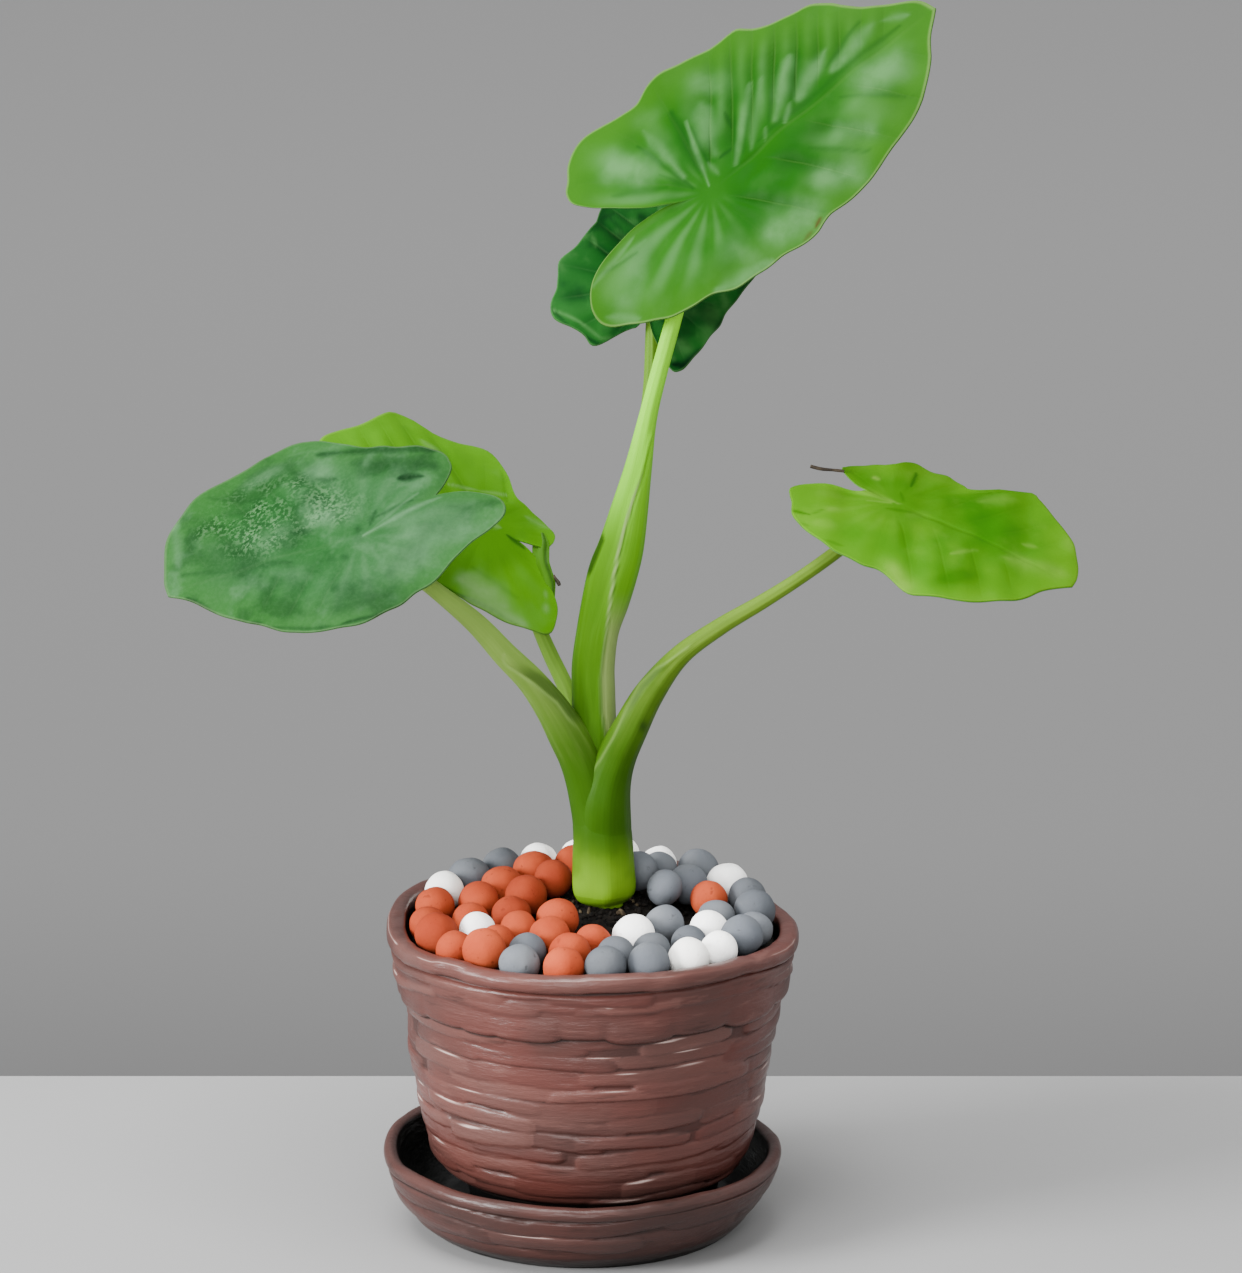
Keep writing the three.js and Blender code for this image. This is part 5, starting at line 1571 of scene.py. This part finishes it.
# %% Leaf colours
LOOKS = {
    "tall": dict(main=(0.0044, 0.0425, 0.0016), light=(0.0100, 0.0597, 0.0037),
                 sheen=(0.0440, 0.1150, 0.0380), edge=(0.0200, 0.0757, 0.0042),
                 deep=(0.0027, 0.0278, 0.0018), line=(0.0950, 0.1664, 0.0436),
                 swell_sheen=0.5, patch=0.08, vein_shade=0.45, soft=4.0, vein=0.04, rib=0.03, margin=0.5, rough=0.34,
                 mottle=0.1, groove=0.4, speckled=False),
    "left": dict(main=(0.0082, 0.0450, 0.0098), light=(0.0170, 0.0600, 0.0190),
                 sheen=(0.0400, 0.0980, 0.0440), edge=(0.0160, 0.0660, 0.0115),
                 deep=(0.0020, 0.0139, 0.0032), line=(0.0793, 0.1350, 0.0595),
                 swell_sheen=0.3, patch=0.55, vein_shade=0.2, soft=3.0, vein=0.03, rib=0.03, margin=0.3, rough=0.4,
                 mottle=0.45, groove=0.12, speckled=True),
    "left_rear": dict(main=(0.0310, 0.1130, 0.0018), light=(0.0430, 0.1460, 0.0022),
                      sheen=(0.0860, 0.1750, 0.0520), edge=(0.0480, 0.1660, 0.0022),
                      deep=(0.0048, 0.0357, 0.0016), line=(0.0993, 0.1786, 0.0238),
                      swell_sheen=0.1, patch=0.1, vein_shade=0.25, soft=3.0, vein=0.05, rib=0.1, margin=0.35,
                      rough=0.34, mottle=0.1, groove=0.15, speckled=False),
    "right": dict(main=(0.0155, 0.0935, 0.0012), light=(0.0480, 0.1540, 0.0024),
                  sheen=(0.0970, 0.2030, 0.0190), edge=(0.0560, 0.1690, 0.0026),
                  deep=(0.0087, 0.0609, 0.0006), line=(0.0871, 0.1779, 0.0110),
                  swell_sheen=0.12, patch=0.15, vein_shade=0.2, soft=3.5, vein=0.02, rib=0.015, margin=0.35,
                  rough=0.38, mottle=0.1, groove=0.1, speckled=False),
    "rear": dict(main=(0.0048, 0.0465, 0.0060), light=(0.0085, 0.0640, 0.0085),
                 sheen=(0.0340, 0.1100, 0.0300), edge=(0.0058, 0.0465, 0.0066),
                 deep=(0.0010, 0.0087, 0.0026), line=(0.0340, 0.1000, 0.0300),
                 swell_sheen=0.15, patch=0.3, vein_shade=0.4, soft=2.5, vein=0.15, rib=0.2, margin=0.5, rough=0.36,
                 mottle=0.5, groove=0.35, speckled=False),
}
print(len(LOOKS), "leaves have their colours")

# %% [markdown]
# ## Leaf blades: marks
# No leaf is even. Pale marks are mostly painted highlights, where light catches the swellings
# between the veins. Dark marks are mostly painted shade, the dark lines that folds throw, and some
# are darker patches of the leaf itself. An edge dries here and there. Each mark is one soft stroke on
# its leaf: from one point to another, with a half width and a strength. The points count from the
# junction, first along the leaf towards its tip and then across to its left, in millimetres.

# %% Leaf marks
MARKS = {
    "tall": {
        "pale": [
            (-18.2, 32.5, -12, 22.5, 4.7, 0.85), (-4.2, 34, -3.2, 10.5, 1.9, 0.55),
            (-3.2, 38.5, 1, 35, 2.9, 0.3), (8, 24.8, 1, 2.2, 0.9, 0.6), (18.5, 34, 24.2, 27.8, 3.9, 0.45),
            (14.8, 26.8, 8.5, 9.8, 3.5, 0.5), (5.2, 8.2, 5.5, 2.8, 1.2, 0.4),
            (11.5, 1.8, 30.2, 20, 1.4, 0.5), (18, 2.2, 34.2, 18.5, 1.6, 0.5),
            (22.8, 0.8, 25.5, 4.2, 0.7, 0.6), (29.2, 4.2, 44.8, 19.2, 2.3, 0.65),
            (30.8, 0.8, 35.8, 5.5, 0.8, 0.75), (38.5, 5.2, 54.5, 12.2, 2.5, 0.6),
            (52, 5, 70.5, 8.5, 2.5, 0.65), (73.2, 7.8, 80, 4.2, 1.4, 0.4),
            (58.5, -6.5, 66.5, -6.8, 5.8, 0.8), (42.8, -14.5, 48.8, -19.2, 3.9, 0.65),
            (30, -23.8, 36.5, -26.2, 4.9, 0.75), (9.8, -27.5, 17, -29.5, 6, 1),
            (-16.5, -27.8, 1, -33.5, 3.3, 0.6), (-41, -2, -34.5, -0.8, 5.3, 0.5),
            (-27.2, 8.5, -46.8, 8.8, 1, 0.6), (-24.8, 4.5, -37.8, 8, 0.9, 0.4),
            (-49.5, -1.8, -42, -11.8, 2.1, 0.5), (-4.8, -20.2, -2.5, -27.5, 3.9, 0.35),
        ],
        "dark": [
            (6.2, 30.8, 2, 6.2, 2.3, 0.75), (8.2, 21.8, 5.2, 8.2, 0.9, 0.8),
            (-8.5, 31.8, -3.2, 5.2, 1, 0.6), (19, 19, 17.5, 13, 0.7, 0.95), (9, 7.2, 13.5, 7.2, 0.7, 0.95),
            (21.5, 17.2, 11.2, 2, 0.7, 0.6), (15.2, 3, 30, 17.8, 0.7, 0.4),
            (26.2, 3.5, 40.2, 19.2, 0.8, 0.55), (37.2, 6.5, 48, 19.2, 1, 0.5),
            (51, 7.2, 68.2, 12.5, 0.8, 0.55), (21, 2.5, 76, 2.8, 1.4, 0.5),
            (26.5, -8.5, 37.5, -8, 4.4, 0.35), (48.5, -4, 66.2, -21, 0.9, 0.45),
            (31, -11.2, 45, -26.2, 0.9, 0.45), (15.5, -21.2, 23, -33, 0.8, 0.35),
            (-43.2, 9.5, -29.2, 4, 0.7, 0.45), (-24.2, 24.5, -9.2, 11.8, 1.4, 0.35),
            (-8.8, 17.5, -3.2, 5.2, 0.8, 0.4),
        ],
        "dry": [
            (18.2, -35, 21, -33.5, 1, 0.9), (16.5, -35.2, 13.5, -35.8, 0.8, 0.5),
        ],
    },
    "left": {
        "speckled": [
            (51, -19, 20, -27, 8, 1), (44, -11, 14, -12, 7.5, 1), (14, -20, 6, -12, 5, 0.9),
        ],
        "dark": [
            (48, -8, 40, -2, 8, 0.4), (2, -30, -24, -21, 5, 0.5), (8, 22, -14, 26, 6, 0.4),
            (14, -38.5, -24.2, -27.8, 2.2, 0.75), (-12.8, -18.8, -20.2, -18, 2, 1),
            (15, -27.5, 8.2, -25.2, 1.4, 0.6), (22.8, -8, 16, -6.8, 1.6, 0.5),
            (-2.8, -3, -4.8, -8.2, 1.3, 0.6), (1.2, -3, 1, -2.5, 1.1, 0.5), (-2, -5, -16.8, -9, 0.9, 0.5),
            (57, -17, 56.5, -14.8, 3.2, 0.4), (60.2, -5.2, 23.2, 3.2, 1.8, 0.45),
            (6.2, 6.2, 5.2, 7, 1.1, 0.45), (51.5, -33, 34.8, -25.8, 1.3, 0.35),
            (-27.8, -4.8, -43.8, -3, 2, 0.45), (8.5, 25.5, -0.5, 24.8, 3.1, 0.5),
            (58.8, 4, 50.2, 12, 1, 0.9), (38.8, 19.8, 34.2, 22.2, 0.7, 0.8),
            (34.2, 23.5, 8.2, 31.8, 0.7, 0.5), (8.2, 31.2, -5.8, 29.8, 0.8, 0.75),
            (54, -10.8, 43.5, -11.5, 2.7, 0.3), (45, -23.5, 34.5, -22.5, 2.2, 0.3),
        ],
        "pale": [
            (20, -16, 5, -12, 4, 0.5), (-14, 10, -28, 6, 6, 0.4), (-20, -2, -34, -5, 4, 0.35),
            (14.2, -11, 11, -11, 4, 0.9), (30.5, -8.5, 28, -8.8, 4.5, 0.5),
            (16, -31.8, 11.8, -29.2, 2.7, 0.5), (6, -12.5, 3.5, -10.5, 4.5, 0.4),
            (-17, 2.8, -31.2, 0.8, 4.9, 0.5), (-10.5, 14.5, -14, 15.5, 3.1, 0.5),
            (36.8, -34.5, 28, -36.5, 3.1, 0.35), (-0.5, 0.2, -25, -8.8, 1, 1),
            (-3.5, -1.5, -18.5, -11.5, 0.7, 0.5), (63, -27.2, 60.8, -8.5, 2, 0.45),
            (30, 5.2, 16.8, 10.8, 2.2, 0.25), (-1.8, -27.8, -3.2, -30.8, 1.3, 0.4),
        ],
    },
    "left_rear": {
        "pale": [
            (25.2, -31, 16.5, -24.2, 1.5, 0.5), (15.2, -12.8, 4.8, -14.8, 0.7, 0.5),
            (4.8, -14.8, -4, -16, 0.7, 0.5), (-11.2, -8.8, -18.8, -7.2, 1.7, 0.35),
            (4.5, 20.8, -11.5, 25.5, 5, 1), (0, 26, -18, 29, 4, 0.9), (-23.8, 20.5, -24.2, 21.2, 1.1, 0.6),
            (-22.8, 16, -23, 17, 0.7, 0.5), (-0.5, -0.8, -4, -0.5, 1, 0.5),
            (9.5, 25, -10.8, 30.8, 0.7, 0.8),
        ],
        "dark": [
            (-6.2, 1.2, -12.8, 4, 0.7, 0.8), (-18.2, 2.8, -20.8, 7.8, 0.8, 0.7),
            (11.5, 23.5, -16.5, 30.2, 0.7, 1), (31.8, -37.2, 26.8, -32.8, 0.8, 0.3),
            (-1.2, -27, -4.2, -12.5, 0.8, 0.25), (1.8, 15.8, -14.2, 21, 1, 0.2),
        ],
    },
    "right": {
        "pale": [
            (-27.2, -3.8, -25.8, -2.8, 1, 0.8), (-16, -20.8, -13.8, -20, 2.3, 0.55),
            (-15.5, -12.5, -14.2, -11.5, 1.4, 0.5), (-9.8, 9, -8.8, 8.8, 0.9, 0.8),
            (-11.8, 0.2, 0, 0.5, 1.6, 0.7), (-7.5, -3, 2, 0.8, 0.7, 0.7),
            (11.5, -27.8, 15.8, -31.2, 3.3, 0.8), (38.5, -3.5, 56.2, 2.8, 4.1, 0.45),
            (24.5, -13.5, 30.5, -6.2, 0.9, 0.45), (41, 6.8, 45.2, 8.5, 1.1, 0.4),
            (7, -2.5, 10, 1, 1.6, 0.2), (22.5, 16, 32.2, 24.2, 2, 0.3), (51.5, 19, 55.5, 12.2, 2, 0.3),
        ],
        "dark": [
            (-27, -17.2, -20, -17.5, 0.7, 0.8), (-20, -17.5, -17.8, -13.8, 0.7, 0.5),
            (-11.5, -27.2, -5.8, -26.8, 0.7, 0.45), (0.8, 18, 1.8, 10.5, 0.7, 0.9),
            (-1.2, -3.8, 6.5, -1.2, 0.9, 0.5), (0, 6.2, 3, 1.8, 0.7, 0.5),
            (27, -24.8, 31.2, -18.8, 4.4, 0.75), (21.8, 20.2, 34.5, 32.2, 0.7, 0.5),
            (-24.5, -22.2, -19, -23, 0.8, 0.35), (52.2, 1.2, 53.8, 3.2, 1.1, 0.25),
        ],
    },
    "rear": {
        "pale": [
            (-11.8, 29.2, -15, 20.5, 0.7, 0.9), (-15, 20.5, -19, 13.5, 0.7, 0.9),
            (-19, 13.5, -18.2, 10.5, 0.7, 0.6), (15.8, 20, 11.5, 18, 0.7, 0.5),
            (14.5, 22.2, 15.2, 20.8, 0.8, 0.35), (22.5, 9, 21.8, 6.2, 0.8, 0.4),
            (17.8, 12.2, 16.5, 10, 1.1, 0.25), (-2, -22.8, -4.8, -24, 1.3, 0.5),
            (-19, -10.8, -20.5, -13, 1.8, 0.5), (-23.5, -8.8, -24, -9.2, 0.7, 0.5),
            (3.5, 28.5, 2.5, 27.5, 1.2, 0.25),
        ],
        "dark": [
            (-10.5, 30.5, -17.5, 23.5, 0.7, 0.7), (-17.5, 23.5, -21.2, 12.8, 0.7, 0.7),
            (4.5, -31.8, -19, -18.5, 0.8, 0.9), (-19, -18.5, -26.5, -11.5, 1.4, 1),
            (-25.8, -9.2, -25.5, -13.5, 1.2, 1), (22.5, 14.8, 17.5, 10.2, 0.7, 0.4),
            (21.2, 17.8, 23.8, 13.8, 0.8, 0.35), (-6.5, 24.5, -6, 22, 2.7, 0.35),
            (16.8, 11.2, 16.5, 9.5, 0.7, 0.6), (4, 29, 1, 29.2, 0.7, 0.5), (24.2, 5.5, 23.2, 3.5, 0.8, 0.5),
        ],
    },
}
print(sum(len(strokes) for leaf in MARKS.values() for strokes in leaf.values()), "marks")

# %% [markdown]
# ## Leaf blades: all five
# A larger blade gets a denser net. The numbers are the spokes of one half and the rings.

# %% Blades
NETS = {"tall": (170, 88), "left": (150, 76), "left_rear": (130, 60), "right": (140, 64), "rear": (120, 56)}
for key, leaf in BLADES.items():
    wax = leaf_finish("leaf " + key, LOOKS[key])
    dress(make_blade(key, leaf, wax, MARKS[key], *NETS[key]), ["blade_" + key])

# %% [markdown]
# ## The table
# The object stands on a plain pale table before a plain grey backdrop. Neither belongs to it.

# %% Stage
TABLE_GREY, TABLE_ROUGHNESS = 0.222, 0.6
TABLE_REACH, TABLE_EDGE = 1500.0, 146.0
WALL_GREY, WALL_ROUGHNESS = 0.198, 0.9
WALL_REACH, WALL_PLACE = 4000.0, 3600.0
WALL_FOOT, WALL_TOP = -3000.0, 2600.0


def plain_finish(name, grey, roughness):
    finish = Finish(name, roughness=roughness)
    tint = finish.noise(3, 2)
    return finish.paint(finish.mix(tint, (grey,) * 3, (grey * 1.04,) * 3))


def wall_finish(grey):
    """Plain grey, with painted shade: a little darker towards the ceiling and behind the table."""
    finish = Finish("grey backdrop", roughness=WALL_ROUGHNESS)
    height = finish.place().parts()[2]
    # Painted shade towards the top and at the foot of the wall.
    darker = height.step(-0.4, -0.05) * 0.1 + (1 - height.step(-1.22, -0.86)) * 0.3
    return finish.paint(finish.mix(darker, (grey,) * 3, (0, 0, 0)))


def add_sheet(name, reach, low, high, material):
    """A flat sheet that reaches as far to either side, between edges of a given depth and height."""
    corners = [(-reach, *low), (reach, *low), (reach, *high), (-reach, *high)]
    make_piece(name, corners, [(0, 1, 2, 3)], material)


add_sheet("table", TABLE_REACH, (-TABLE_REACH, 0), (TABLE_EDGE, 0),
          plain_finish("pale table", TABLE_GREY, TABLE_ROUGHNESS))
add_sheet("backdrop", WALL_REACH, (WALL_PLACE, WALL_FOOT), (WALL_PLACE, WALL_TOP),
          wall_finish(WALL_GREY))
print("table and backdrop are in place")

# %% [markdown]
# ## Check the size
# The dressed object should fill the same box as the model that it dresses. Both boxes are written
# down, so that they can be compared after each render.

# %% Sizes
def plain(box):
    return [[round(value, 5) for value in corner] for corner in box]
